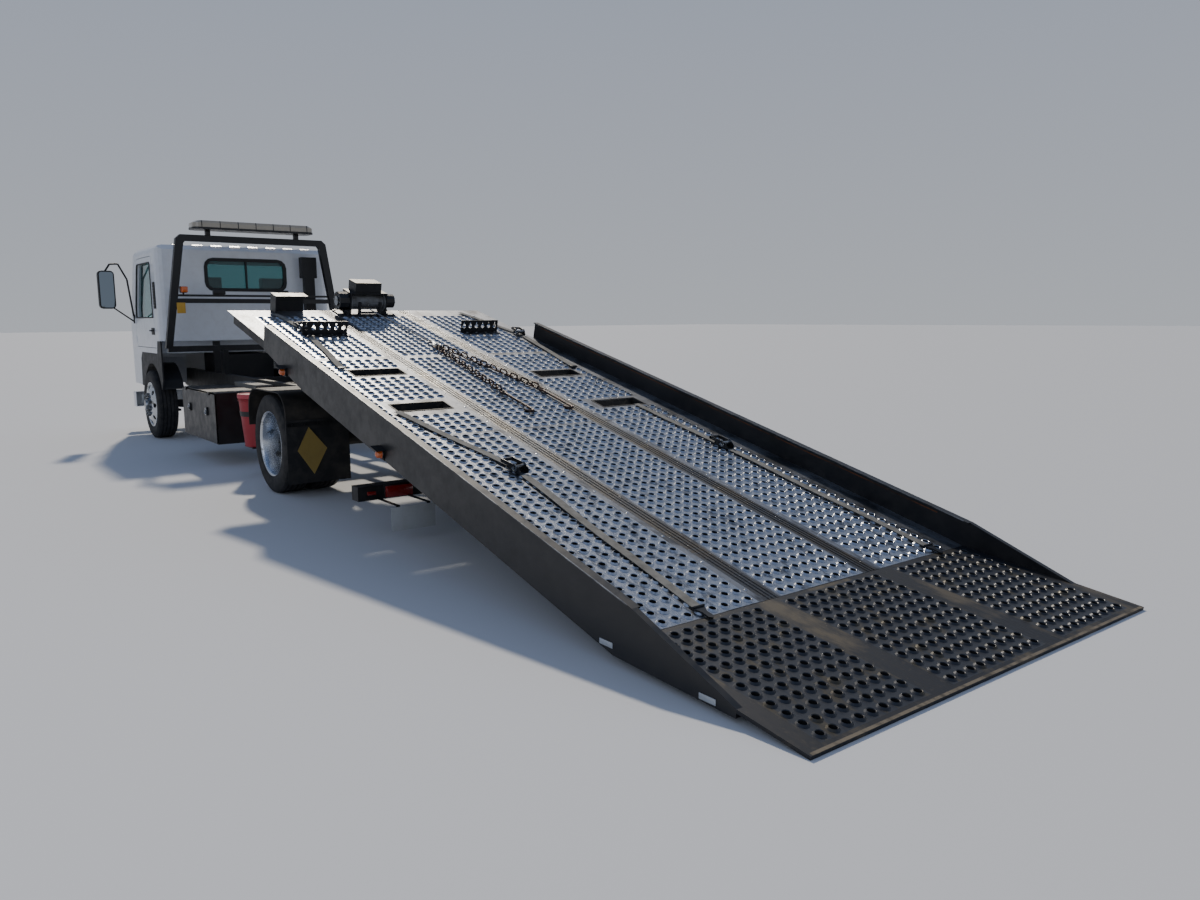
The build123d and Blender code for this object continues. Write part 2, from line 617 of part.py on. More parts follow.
# Lift cylinders, one each side: the barrel turns on the chassis and the rod's eye holds the tilt frame.
LIFT_FOOT = (TAIL_X + 5000, 520)
LIFT_BARREL_R = 46
LIFT_ROD_R = 28
LIFT_EYE_WIDTH = 50
LIFT_BARREL_SHARE = 0.86
ROD_EYE_AT = tilt_point(*ROD_EYE)
lift_run = (ROD_EYE_AT[0] - LIFT_FOOT[0], ROD_EYE_AT[1] - LIFT_FOOT[1])
LIFT_LENGTH = hypot(*lift_run)
LIFT_ANGLE = degrees(atan2(lift_run[1], lift_run[0]))
lift_place = slope(LIFT_ANGLE, *LIFT_FOOT)


def along(x0, x1, radius):
    return Pos(x0, 0, 0) * Rot(Y=90) * prism(radius, x1 - x0, TUBE_SIDES)


def lift_barrel(side):
    tube = along(46, LIFT_LENGTH * LIFT_BARREL_SHARE, LIFT_BARREL_R)
    neck = block((0, 60), (-LIFT_EYE_WIDTH / 2, LIFT_EYE_WIDTH / 2), (-28, 28))
    eye = cross_bar(36, LIFT_EYE_WIDTH, 0, 0, 0)
    barrel = joined(tube, neck, eye) - flat_bore(ROD_PIN, 2 * LIFT_EYE_WIDTH, 0, 0, 0)
    barrel -= along(60, LIFT_LENGTH, LIFT_ROD_R + RUNNING_FIT)
    return Pos(0, side * CYLINDER_Y, 0) * lift_place * barrel


def lift_rod(side):
    rod = along(320, LIFT_LENGTH - 20, LIFT_ROD_R)
    eye = cross_bar(34, LIFT_EYE_WIDTH, LIFT_LENGTH, 0, 0)
    return Pos(0, side * CYLINDER_Y, 0) * lift_place * joined(rod, eye)


for name, side in (("left", 1), ("right", -1)):
    keep(f"lift_barrel_{name}", lift_barrel(side))
    keep(f"lift_rod_{name}", lift_rod(side))

# Chassis frame: two channel rails, cross members, and brackets for everything that hangs on it.
RAIL_PLATE = 9
RAIL_FLANGE = 65
FRAME_BOTTOM = FRAME_TOP - FRAME_DEPTH
REAR_CROSS_STATIONS = (4560, 4900)
FOOT_STATION = REAR_CROSS_STATIONS[1]
CROSS_SHARES = (0.226, 0.4944, 0.7405)
FRONT_CROSS_BACK = 450
REAR_SPRING_Y = 490
REAR_SPRING_HALF = 640
FRONT_SPRING_Y = 395
FRONT_SPRING_HALF = 620
SHAFT_R = 45
SHAFT_END = (REAR_AXLE_X + 270, 0, AXLE_Z + 20)
SHAFT_START = (NOSE_X - 1610, 0, 600)
INNER_CHEEK = (364, 384)
OUTER_CHEEK = (456, 476)
BEAM_STATIONS = (3760, 3860)
BEAM_HALF_WIDTH = 1140
BEAM_Z = (235, 330)


def lift_feet(floor):
    """Pairs of plates with a pin for the lift cylinders' feet, on their cross member."""
    pieces = []
    back = TAIL_X + FOOT_STATION + 35
    x, z = LIFT_FOOT
    for side in (1, -1):
        for shift in (-1, 1):
            y = side * CYLINDER_Y + shift * (LIFT_EYE_WIDTH / 2 + 12)
            foot = [(x + 35, z), (x + 10, z + 35), (back, 635), (back, floor + 3), (x - 20, z - 35), (x + 20, z - 32)]
            pieces.append(side_plate(foot, (y - 6, y + 6)))
    # The left pin is truly round, to mark the axis; the right one has flat sides, to spare facets.
    pieces.append(Pos(0, CYLINDER_Y, 0) * cross_pin(ROD_PIN, LIFT_EYE_WIDTH + 24, x, z))
    pieces.append(cross_bar(ROD_PIN, LIFT_EYE_WIDTH + 24, x, -CYLINDER_Y, z))
    return pieces


def chassis():
    """The ladder frame in bolted members: each rail, cross member and bracket is its own solid."""
    pieces = []
    x0, x1 = TAIL_X + FRAME_REAR_STATION, NOSE_X - FRAME_FRONT_BACK
    web = FRAME_HALF_WIDTH - RAIL_PLATE
    floor = FRAME_BOTTOM + RAIL_PLATE + GAP
    shaft_room = bar(SHAFT_END, SHAFT_START, SHAFT_R + 30)
    for side in (1, -1):
        outer = sorted((side * (FRAME_HALF_WIDTH - RAIL_FLANGE), side * FRAME_HALF_WIDTH))
        inner = sorted((side * (FRAME_HALF_WIDTH - RAIL_FLANGE - 1), side * web))
        rail = block((x0, x1), outer, (FRAME_BOTTOM, FRAME_TOP))
        pieces.append(rail - block((x0 - 1, x1 + 1), inner, (FRAME_BOTTOM + RAIL_PLATE, FRAME_TOP - RAIL_PLATE)))
    for station in REAR_CROSS_STATIONS:
        x = TAIL_X + station
        half = (web if station == FOOT_STATION else INNER_CHEEK[0]) - GAP
        member = block((x - 40, x + 40), (-half, half), (floor, 640))
        pieces.append(joined(member, *lift_feet(floor)) if station == FOOT_STATION else member)
    places = [REAR_AXLE_X + share * WHEELBASE for share in CROSS_SHARES]
    for x in places + [NOSE_X - FRONT_CROSS_BACK]:
        pieces.append(block((x - 40, x + 40), (-web + GAP, web - GAP), (floor, FRAME_TOP - 40)) - shaft_room)
    # The tilt hinge: cheeks inside and outside each tilt rail, with a pin between them.
    for side in (1, -1):
        plates = []
        for cheek in (INNER_CHEEK, OUTER_CHEEK):
            y = sorted((side * cheek[0], side * cheek[1]))
            outline = [(PIVOT_X - 45, PIVOT_Z), (PIVOT_X - 32, PIVOT_Z + 32), (PIVOT_X, PIVOT_Z + 45), (PIVOT_X + 32, PIVOT_Z + 32), (PIVOT_X + 45, PIVOT_Z),
                       (x0 + 120, 690), (x0 + 120, floor), (x0 - 60, floor), (PIVOT_X - 40, PIVOT_Z - 60)]
            plates.append(side_plate(outline, y))
        middle = side * (INNER_CHEEK[0] + OUTER_CHEEK[1]) / 2
        plates.append(cross_bar(PIVOT_PIN, OUTER_CHEEK[1] - INNER_CHEEK[0] - 10, PIVOT_X, middle, PIVOT_Z))
        plates.append(block((x0, x0 + 100), sorted((side * (FRAME_HALF_WIDTH + GAP), side * OUTER_CHEEK[1])), (floor, 690)))
        pieces.append(joined(*plates))
    # Spring hangers, outside the rails at the back and below them at the front.
    for side in (1, -1):
        for end in (-1, 1):
            x = REAR_AXLE_X + end * REAR_SPRING_HALF
            y = sorted((side * (FRAME_HALF_WIDTH + GAP), side * (REAR_SPRING_Y + 40)))
            pieces.append(block((x - 45, x + 45), y, (FRAME_BOTTOM + 10, 700)))
            x = FRONT_AXLE_X + end * FRONT_SPRING_HALF
            y = (side * FRONT_SPRING_Y - 30, side * FRONT_SPRING_Y + 30)
            pieces.append(block((x - 35, x + 35), y, (540, FRAME_BOTTOM - GAP)))
    # Supports for the cab's rear edge, and a bracket with the lugs of its front hinge.
    hinge_parts = [block((x1 + GAP, x1 + 20), (-420, 420), (FRAME_BOTTOM, 640))]
    for side in (1, -1):
        y = sorted((side * 340, side * 410))
        pieces.append(block((NOSE_X - 1640, NOSE_X - 1580), y, (FRAME_TOP + GAP, 1150)))
        for y0 in (336, 392):
            lug = [
                (x1 + 10, 640),
                (x1 + 10, FRAME_BOTTOM),
                (CAB_PIVOT_X, CAB_PIVOT_Z - 36),
                (CAB_PIVOT_X + 32, CAB_PIVOT_Z - 10),
                (CAB_PIVOT_X + 30, CAB_PIVOT_Z + 18),
                (CAB_PIVOT_X, CAB_PIVOT_Z + 36),
            ]
            hinge_parts.append(side_plate(lug, sorted((side * y0, side * (y0 + 18)))))
    cab_hinge = joined(*hinge_parts)
    for side in (1, -1):
        cab_hinge -= flat_bore(CAB_PIN, 120, CAB_PIVOT_X, side * 373, CAB_PIVOT_Z)
    pieces.append(cab_hinge)
    # The rear lamp beam hangs on two arms under the tail of the rails.
    beam_x = (TAIL_X + BEAM_STATIONS[0], TAIL_X + BEAM_STATIONS[1])
    beam = block(beam_x, (-BEAM_HALF_WIDTH, BEAM_HALF_WIDTH), BEAM_Z)
    for side in (1, -1):
        arm = [(beam_x[0] + 20, 325), (beam_x[1], 245), (x0 + 100, 520), (x0 + 100, FRAME_BOTTOM - GAP), (x0 - 20, FRAME_BOTTOM - GAP)]
        beam = beam + side_plate(arm, sorted((side * 386, side * 420)))
    pieces.append(beam)
    return pieces


keep("chassis_frame", *chassis())

# Front bumper, on the ends of the rails, below the cab.
BUMPER_PLATE = 6
bumper = block((NOSE_X - 130, NOSE_X), (-1010, 1010), (300, 495)) - block((NOSE_X - 140, NOSE_X - BUMPER_PLATE), (-1002, 1002), (306, 489))
for side in (1, -1):
    bumper += block((NOSE_X - 340, NOSE_X - BUMPER_PLATE), sorted((side * 366, side * 420)), (440, 480))
    bumper += block((NOSE_X - 340, NOSE_X - 280), sorted((side * 366, side * 420)), (440, FRAME_BOTTOM))
keep("front_bumper", bumper)

# Axles, springs and drive line.
SPRING_THICK = 60
KINGPIN_R = 22


def spring(axle, half, y, low, high):
    """A pack of leaves as an arched plate."""
    outline = [(axle - half, high + SPRING_THICK / 2), (axle - half, high), (axle - half / 2, (low + high) / 2 - 12), (axle - 60, low), (axle + 60, low), (axle + half / 2, (low + high) / 2 - 12), (axle + half, high),
               (axle + half, high + SPRING_THICK / 2), (axle + half / 2, (low + high) / 2 + SPRING_THICK / 2), (axle + 60, low + SPRING_THICK), (axle - 60, low + SPRING_THICK), (axle - half / 2, (low + high) / 2 + SPRING_THICK / 2)]
    return side_plate(outline, (y - 38, y + 38))


REAR_TUBE_R = 64
STUB_R = 45
STUB_REACH = 885
rear_low = AXLE_Z + REAR_TUBE_R + 10
springs = [spring(REAR_AXLE_X, REAR_SPRING_HALF, side * REAR_SPRING_Y, rear_low, 540) for side in (1, -1)]
springs += [spring(FRONT_AXLE_X, FRONT_SPRING_HALF, side * FRONT_SPRING_Y, 436, 510) for side in (1, -1)]
keep("leaf_springs", *springs)

def rear_axle():
    """The axle tubes with stubs for the wheels, a round housing with domed faces, and the pinion's nose."""
    tube = cross_bar(REAR_TUBE_R, 1130, REAR_AXLE_X, 0, AXLE_Z)
    # The left stub is truly round, to mark the axis; the right one has flat sides, to spare facets.
    left_stub = Pos(0, STUB_REACH / 2, 0) * cross_pin(STUB_R, STUB_REACH, REAR_AXLE_X, AXLE_Z)
    right_stub = cross_bar(STUB_R, STUB_REACH, REAR_AXLE_X, -STUB_REACH / 2, AXLE_Z)
    middle = Pos(REAR_AXLE_X - 70, 0, AXLE_Z) * Rot(Y=90) * prism(175, 140, TUBE_SIDES)
    dome = Pos(REAR_AXLE_X - 70, 0, AXLE_Z) * Rot(Y=-90) * extrude(RegularPolygon(150, TUBE_SIDES), amount=55, dir=(0, 0, 1), taper=40)
    nose = bar((REAR_AXLE_X + 60, 0, SHAFT_END[2]), (SHAFT_END[0] - 2.5, 0, SHAFT_END[2]), 60)
    pads = [block((REAR_AXLE_X - 60, REAR_AXLE_X + 60), (side * REAR_SPRING_Y - 38, side * REAR_SPRING_Y + 38), (AXLE_Z, rear_low)) for side in (1, -1)]
    return joined(tube, left_stub, right_stub, middle, dome, nose, *pads)


keep("rear_axle", rear_axle())


def front_axle():
    outline = [(-KINGPIN_Y, 360), (-600, 340), (-520, 300), (520, 300), (600, 340), (KINGPIN_Y, 360), (KINGPIN_Y, 446), (600, 436), (-600, 436), (-KINGPIN_Y, 446)]
    beam = cross_plate(outline, (FRONT_AXLE_X - 36, FRONT_AXLE_X + 36))
    ends = [Pos(FRONT_AXLE_X, side * KINGPIN_Y, 360) * prism(37, 86, TUBE_SIDES) for side in (1, -1)]
    beam = joined(beam, *ends)
    for side in (1, -1):
        beam -= Pos(FRONT_AXLE_X, side * KINGPIN_Y, 400) * Cylinder(KINGPIN_R + RUNNING_FIT, 300)
    return beam


keep("front_axle", front_axle())


def knuckle(side):
    y = side * KINGPIN_Y
    pin = Pos(FRONT_AXLE_X, y, 328) * prism(KINGPIN_R, 150)
    arms = [block((FRONT_AXLE_X - 34, FRONT_AXLE_X + 34), sorted((side * (KINGPIN_Y - 34), side * (KINGPIN_Y + 62))), z) for z in ((456, 480), (324, 350))]
    post = block((FRONT_AXLE_X - 34, FRONT_AXLE_X + 34), sorted((side * (KINGPIN_Y + 43), side * (KINGPIN_Y + 62))), (324, 480))
    spindle = cross_bar(34, 200, FRONT_AXLE_X, side * (KINGPIN_Y + 150), AXLE_Z)
    arm = block((FRONT_AXLE_X - 230, FRONT_AXLE_X - 20), sorted((side * (KINGPIN_Y - 30), side * (KINGPIN_Y + 5))), (324, 348))
    return joined(pin, *arms, post, spindle, arm)


TYRE_SECTION = [(-93, 260), (-113, 325), (-90, 405), (90, 405), (113, 325), (93, 260)]
RIM_SECTION = [(93, 260), (-93, 260), (-131, 170), (-131, 85), (-119, 85), (-119, 170), (93, 246)]


def wheel_ring(section, axle, y, flip, sides=FACETS):
    """A tyre or rim at a place along its axle; flip turns its dished side about."""
    return turned([(-s, r) for s, r in section] if flip else section, sides, axle, y, AXLE_Z)


for name, side in (("left", 1), ("right", -1)):
    keep(f"knuckle_{name}", knuckle(side))
    keep(f"tyre_front_{name}", wheel_ring(TYRE_SECTION, FRONT_AXLE_X, side * FRONT_Y, False))
    rim = [(s, RIM_RADIUS * cos(pi / FACETS) - GAP if r > 255 else r) for s, r in RIM_SECTION]
    hub = cross_bar(84, 240, FRONT_AXLE_X, 0, AXLE_Z) + cross_bar(170, 60, FRONT_AXLE_X, -70, AXLE_Z)
    hub = Pos(0, side * (KINGPIN_Y + 66 + 120 + 10), 0) * (hub if side > 0 else mirror(hub, about=Plane.XZ))
    hub -= Pos(0, side * (KINGPIN_Y + 160), 0) * cross_pin(34 + RUNNING_FIT, 182, FRONT_AXLE_X, AXLE_Z)
    keep(f"rim_front_{name}", wheel_ring(rim, FRONT_AXLE_X, side * FRONT_Y, side > 0, RIM_FACETS), hub)
    outer, inner = side * REAR_OUTER_Y, side * (REAR_OUTER_Y - DUAL_SPACING)
    keep(f"tyres_rear_{name}", [wheel_ring(TYRE_SECTION, REAR_AXLE_X, y, False) for y in (outer, inner)])
    bore = flat_bore(STUB_R, 2 * STUB_REACH + 10, REAR_AXLE_X, 0, AXLE_Z)
    rear_hub = cross_bar(84, 260, REAR_AXLE_X, side * 790, AXLE_Z) + cross_bar(180, 90, REAR_AXLE_X, side * 690, AXLE_Z)
    keep(f"rims_rear_{name}", wheel_ring(rim, REAR_AXLE_X, outer, side < 0, RIM_FACETS), wheel_ring(rim, REAR_AXLE_X, inner, side > 0, RIM_FACETS), rear_hub - bore)

# Engine and gearbox in one plain block, with the drive shaft behind it.
engine = block((NOSE_X - 1600, NOSE_X - 700), (-290, 290), (460, 985))
for side in (1, -1):
    engine += block((NOSE_X - 1200, NOSE_X - 1100), sorted((side * 290, side * (FRAME_HALF_WIDTH - RAIL_PLATE - GAP))), (600, 660))
keep("engine_block", engine)
flange = block((SHAFT_START[0] - 30, NOSE_X - 1600 - GAP), (-60, 60), (SHAFT_START[2] - 60, SHAFT_START[2] + 60))
keep("drive_shaft", joined(bar(SHAFT_END, SHAFT_START, SHAFT_R), flange))

# Fuel tank on the right, open toolbox on the left with its lid.
TOOLBOX_X = (TAIL_X + 7300, TAIL_X + 8530)
TOOLBOX_Y = (600, 1045)
TOOLBOX_Z = (220, 710)
BOX_WALL = 4
tank = rounded_block((TAIL_X + 7300, TAIL_X + 8400), (-1020, -580), (250, 700), 60)
for x in (TAIL_X + 7500, TAIL_X + 8200):
    tank += block((x - 30, x + 30), (-640, -FRAME_HALF_WIDTH - GAP), (600, 690))
keep("fuel_tank", tank)
toolbox = block(TOOLBOX_X, TOOLBOX_Y, TOOLBOX_Z)
toolbox -= block((TOOLBOX_X[0] + BOX_WALL, TOOLBOX_X[1] - BOX_WALL), (TOOLBOX_Y[0] + BOX_WALL, TOOLBOX_Y[1] + 1), (TOOLBOX_Z[0] + BOX_WALL, TOOLBOX_Z[1] - BOX_WALL))
for x in (TAIL_X + 7500, TAIL_X + 8300):
    toolbox += block((x - 30, x + 30), (FRAME_HALF_WIDTH + GAP, TOOLBOX_Y[0]), (580, 690))
LID_AXIS = (TOOLBOX_Y[1] + 12, TOOLBOX_Z[1] - 7)
LID_PIN = 5
LID_HINGES = (TAIL_X + 7480, TAIL_X + 8350)
for x in LID_HINGES:
    toolbox += block((x - 14, x + 14), (TOOLBOX_Y[1] - 5, LID_AXIS[0] + 8), (LID_AXIS[1] - 6, TOOLBOX_Z[1] + 4))
# The first pin is truly round, to mark the axis; the other has flat sides, to spare facets.
toolbox += Pos(LID_HINGES[0] + 30, *LID_AXIS) * Rot(Y=90) * Cylinder(LID_PIN, 66)
toolbox += Pos(LID_HINGES[1] - 3, *LID_AXIS) * Rot(Y=90) * prism(LID_PIN, 66, 8)
keep("toolbox", toolbox)
lid = block((TOOLBOX_X[0] + 8, TOOLBOX_X[1] - 8), (TOOLBOX_Y[1] + 6, TOOLBOX_Y[1] + 12), (TOOLBOX_Z[0] + 8, TOOLBOX_Z[1] - 14))
for x in (TAIL_X + 7600, TAIL_X + 8230):
    lid += block((x - 40, x + 40), (TOOLBOX_Y[1] + 12, TOOLBOX_Y[1] + 24), (480, 560))
for x in LID_HINGES:
    lid -= block((x - 20, x + 17), (TOOLBOX_Y[1], LID_AXIS[0] + 7), (TOOLBOX_Z[1] - 30, TOOLBOX_Z[1]))
    lid += block((x + 18, x + 60), (TOOLBOX_Y[1] + 6, LID_AXIS[0] + 7), (TOOLBOX_Z[1] - 24, LID_AXIS[1] + 6))
    lid -= Pos(x + 10, *LID_AXIS) * Rot(Y=90) * prism((LID_PIN + RUNNING_FIT) / cos(pi / 8), 60, 8)
keep("toolbox_lid", lid)

# Beside the left rail, behind the toolbox and the pail: a battery box with a lid, and an air tank.
BATTERY_X = (TOOLBOX_X[0] + 245, TOOLBOX_X[1] - 275)
BATTERY_Y = (FRAME_HALF_WIDTH + GAP, TOOLBOX_Y[0] - 4)
AIR_TANK_X = (TAIL_X + 6780, TAIL_X + 7230)
AIR_TANK_R = 85
battery = block(BATTERY_X, BATTERY_Y, (400, 735)) + block((BATTERY_X[0] - 8, BATTERY_X[1] + 8), BATTERY_Y, (735, 750))
air_tank = Pos(AIR_TANK_X[0], FRAME_HALF_WIDTH + GAP + AIR_TANK_R, 640) * Rot(Y=90) * prism(AIR_TANK_R, AIR_TANK_X[1] - AIR_TANK_X[0])
for x in (AIR_TANK_X[0] + 80, AIR_TANK_X[1] - 80):
    air_tank += block((x - 15, x + 15), (FRAME_HALF_WIDTH + GAP, FRAME_HALF_WIDTH + AIR_TANK_R), (640 - AIR_TANK_R + 6, 640))
keep("side_boxes", battery, air_tank)

# Red pail in a holder between the rear wheels and the toolbox.
PAIL = (TAIL_X + 6680, 850)
PAIL_Z = (262, 740)
PAIL_FOOT_R = 125
PAIL_FLARE = 4.9
PAIL_SIDES = 16
PAIL_LID = 20


def pail_body():
    """A tapered bucket with two stiffening rings under its rim and a lid with a skirt."""
    height = PAIL_Z[1] - PAIL_Z[0]
    body = Pos(0, 0, PAIL_Z[0]) * extrude(RegularPolygon(PAIL_FOOT_R, PAIL_SIDES), amount=height - PAIL_LID, dir=(0, 0, 1), taper=-PAIL_FLARE)
    rings = [Pos(0, 0, PAIL_Z[1] - drop) * prism(radius, 8, PAIL_SIDES) for drop, radius in ((75, 167),)]
    lid = Pos(0, 0, PAIL_Z[1] - 2 * PAIL_LID) * prism(170, 2 * PAIL_LID, PAIL_SIDES)
    return Pos(PAIL[0], PAIL[1], 0) * joined(body, *rings, lid)


pail = pail_body()
keep("pail", pail)
holder = block((PAIL[0] - 120, PAIL[0] + 120), (FRAME_HALF_WIDTH + GAP, PAIL[1] + 100), (252, PAIL_Z[0] - GAP))
holder += block((PAIL[0] - 60, PAIL[0] + 60), (FRAME_HALF_WIDTH + GAP, FRAME_HALF_WIDTH + 12), (252, 700))
keep("pail_holder", holder)

# Rear fenders over the dual wheels, with mud flaps behind.
FENDER_Y = (588, 1090)


def fender(side):
    top = 840
    outline = [(REAR_AXLE_X - 460, 520), (REAR_AXLE_X - 460, 640), (REAR_AXLE_X - 330, top), (REAR_AXLE_X + 330, top), (REAR_AXLE_X + 460, 640), (REAR_AXLE_X + 460, 520),
               (REAR_AXLE_X + 455, 520), (REAR_AXLE_X + 455, 638), (REAR_AXLE_X + 328, top - 5), (REAR_AXLE_X - 328, top - 5), (REAR_AXLE_X - 455, 638), (REAR_AXLE_X - 455, 520)]
    shell = side_plate(outline, sorted((side * FENDER_Y[0], side * FENDER_Y[1])))
    flap = block((REAR_AXLE_X - 466, REAR_AXLE_X - 460), sorted((side * FENDER_Y[0], side * FENDER_Y[1])), (130, 620))
    arms = [block((REAR_AXLE_X + s * 440 - 15, REAR_AXLE_X + s * 440 + 15), sorted((side * (FRAME_HALF_WIDTH + GAP), side * (FENDER_Y[0] + 30))), (600, 630)) for s in (1, -1)]
    return joined(shell, flap, *arms)


keep("rear_fenders", fender(1), fender(-1))

# Headboard behind the cab: a tube loop with two bars, on a cross beam over the chassis rails.
HEAD_X = NOSE_X - 2014
HEAD_R = 35
HEAD_FOOT = (990, 1085)
HEAD_TOP = (810, 2305)


def headboard():
    """A loop of square tube with mitred top corners, two bars across it and its cross beam below."""
    half = HEAD_R
    top = HEAD_TOP[1] + half
    foot_y, top_y = HEAD_FOOT[0], HEAD_TOP[0]
    bevel = 45
    outer = [(foot_y + half, HEAD_FOOT[1]), (top_y + half + 4, top - bevel), (top_y + half - bevel, top)]
    inner = [(foot_y - half, HEAD_FOOT[1]), (top_y - half - 4, top - 2 * half - bevel + 20), (top_y - half - bevel + 20, top - 2 * half)]
    loop = outer + [(-y, z) for y, z in reversed(outer)] + [(-y, z) for y, z in inner] + list(reversed(inner))
    pieces = [cross_plate(loop, (HEAD_X - half, HEAD_X + half))]
    for side in (1, -1):
        pieces.append(block((HEAD_X - 60, HEAD_X + 60), sorted((side * 366, side * 425)), (FRAME_TOP, 1060)))
    pieces.append(block((HEAD_X - 25, HEAD_X + 25), (-1000, 1000), (1045, 1110)))
    reach = 908
    pieces.append(block((HEAD_X - 25, HEAD_X + 25), (-reach, reach), (1588, 1638)))
    pieces.append(block((HEAD_X - 10, HEAD_X + 10), (-reach + 8, reach - 8), (1660, 1684)))
    return joined(*pieces)


keep("headboard", headboard())

LIGHT_BAR_Z = (2400, 2495)
light_plan = make_face(Polyline(*rounded_outline(140, 680, 60), close=True))
light_bar = Pos(HEAD_X, 0, LIGHT_BAR_Z[0]) * extrude(light_plan, amount=LIGHT_BAR_Z[1] - LIGHT_BAR_Z[0], dir=(0, 0, 1))
for y in (500, -500):
    light_bar += block((HEAD_X - 30, HEAD_X + 30), (y - 25, y + 25), (HEAD_TOP[1] + HEAD_R + GAP, 2401))
keep("light_bar", light_bar)

# Lamps on the chassis: a work lamp on the headboard, tail lamps under the beam, headlamps in the bumper.
lamps = [block((HEAD_X - 95, HEAD_X - 5), (768, 838), (1700, 1770)) + block((HEAD_X - 9, HEAD_X + 9), (794, 812), (1684 + GAP, 1701))]
for side in (1, -1):
    lamps.append(block((TAIL_X + BEAM_STATIONS[0] - 40, TAIL_X + BEAM_STATIONS[0] - GAP), sorted((side * 770, side * 960)), (240, 325)))
    lamps.append(block((NOSE_X - 60, NOSE_X - BUMPER_PLATE - GAP), sorted((side * 700, side * 930)), (330, 460)))
keep("lamps", *lamps)

# The cab: a hollow shell with windows and doorways cut in it.
CAB_OUTLINE = [(1680, 1160), (1680, 2200), (1640, 2250), (650, 2250), (540, 2190), (170, 1390), (85, 1290), (60, 1180), (60, 610),
               (540, 610), (580, 940), (660, 1015), (1460, 1015), (1510, 1160)]
DOOR_OUTLINE = [(1465, 1075), (1465, 2115), (1450, 2130), (740, 2130), (670, 2100), (420, 1500), (420, 1075)]
WINDOW_OUTLINE = [(1400, 1430), (1400, 2040), (1370, 2060), (740, 2060), (710, 2040), (510, 1560), (510, 1430)]


ROOF_RIB = [(1672, 2190), (1650, 2250), (1620, 2264), (740, 2264), (680, 2240)]


def cab_points(points):
    """Outlines of the cab: how far back from the bumper's face, and the height."""
    return [(NOSE_X - back, z) for back, z in points]


def shrunk(points, amount):
    face = make_face(Plane.XZ * Polyline(*[(px, pz, 0) for px, pz in points], close=True))
    return offset(face, amount=-amount, kind=Kind.INTERSECTION)


def face_plate(face, y):
    return Pos(0, y[1], 0) * extrude(face, amount=y[1] - y[0], dir=(0, -1, 0))


HINGE_X = NOSE_X - 423
HINGE_R = 8
HINGE_LONG = 60
HINGE_PINS = (1180, 1390)
WINDSCREEN_LEAN = degrees(atan2(2190 - 1390, 11130 - 10760))
SCREEN_MIDDLE = (TAIL_X + (11130 + 10760) / 2, (2190 + 1390) / 2)


def screen_block(half_y, half_run, depth):
    """A box on the slope of the windscreen, its Z out of the glass."""
    a = radians(WINDSCREEN_LEAN)
    place = Plane(origin=(SCREEN_MIDDLE[0], 0, SCREEN_MIDDLE[1]), x_dir=(-cos(a), 0, sin(a)), z_dir=(sin(a), 0, cos(a))).location
    return place * block((-half_run, half_run), (-half_y, half_y), depth)


def cab_body():
    """The cab's outside: its side outline, rounded along the roof and round the corners, with ribs on the roof."""
    body = side_plate(cab_points(CAB_OUTLINE), (-CAB_HALF_WIDTH, CAB_HALF_WIDTH))
    body &= rounded_block((CAB_REAR_X - 1, CAB_FRONT_X + 1), (-CAB_HALF_WIDTH, CAB_HALF_WIDTH), (0, CAB_ROOF_Z), CAB_ROOF_EDGE)
    middle = (CAB_REAR_X + CAB_FRONT_X) / 2
    plan = rounded_outline((CAB_FRONT_X - CAB_REAR_X) / 2, CAB_HALF_WIDTH, CAB_CORNER)
    body &= Pos(middle, 0, 500) * extrude(make_face(Polyline(*plan, close=True)), amount=CAB_ROOF_Z, dir=(0, 0, 1))
    rib = cab_points(ROOF_RIB)
    ribs = []
    for k in range(ROOF_RIBS):
        y = (k - (ROOF_RIBS - 1) / 2) * RIB_PITCH
        ribs.append(side_plate(rib, (y - RIB_HALF_WIDTH, y + RIB_HALF_WIDTH)))
    return joined(body, *ribs)


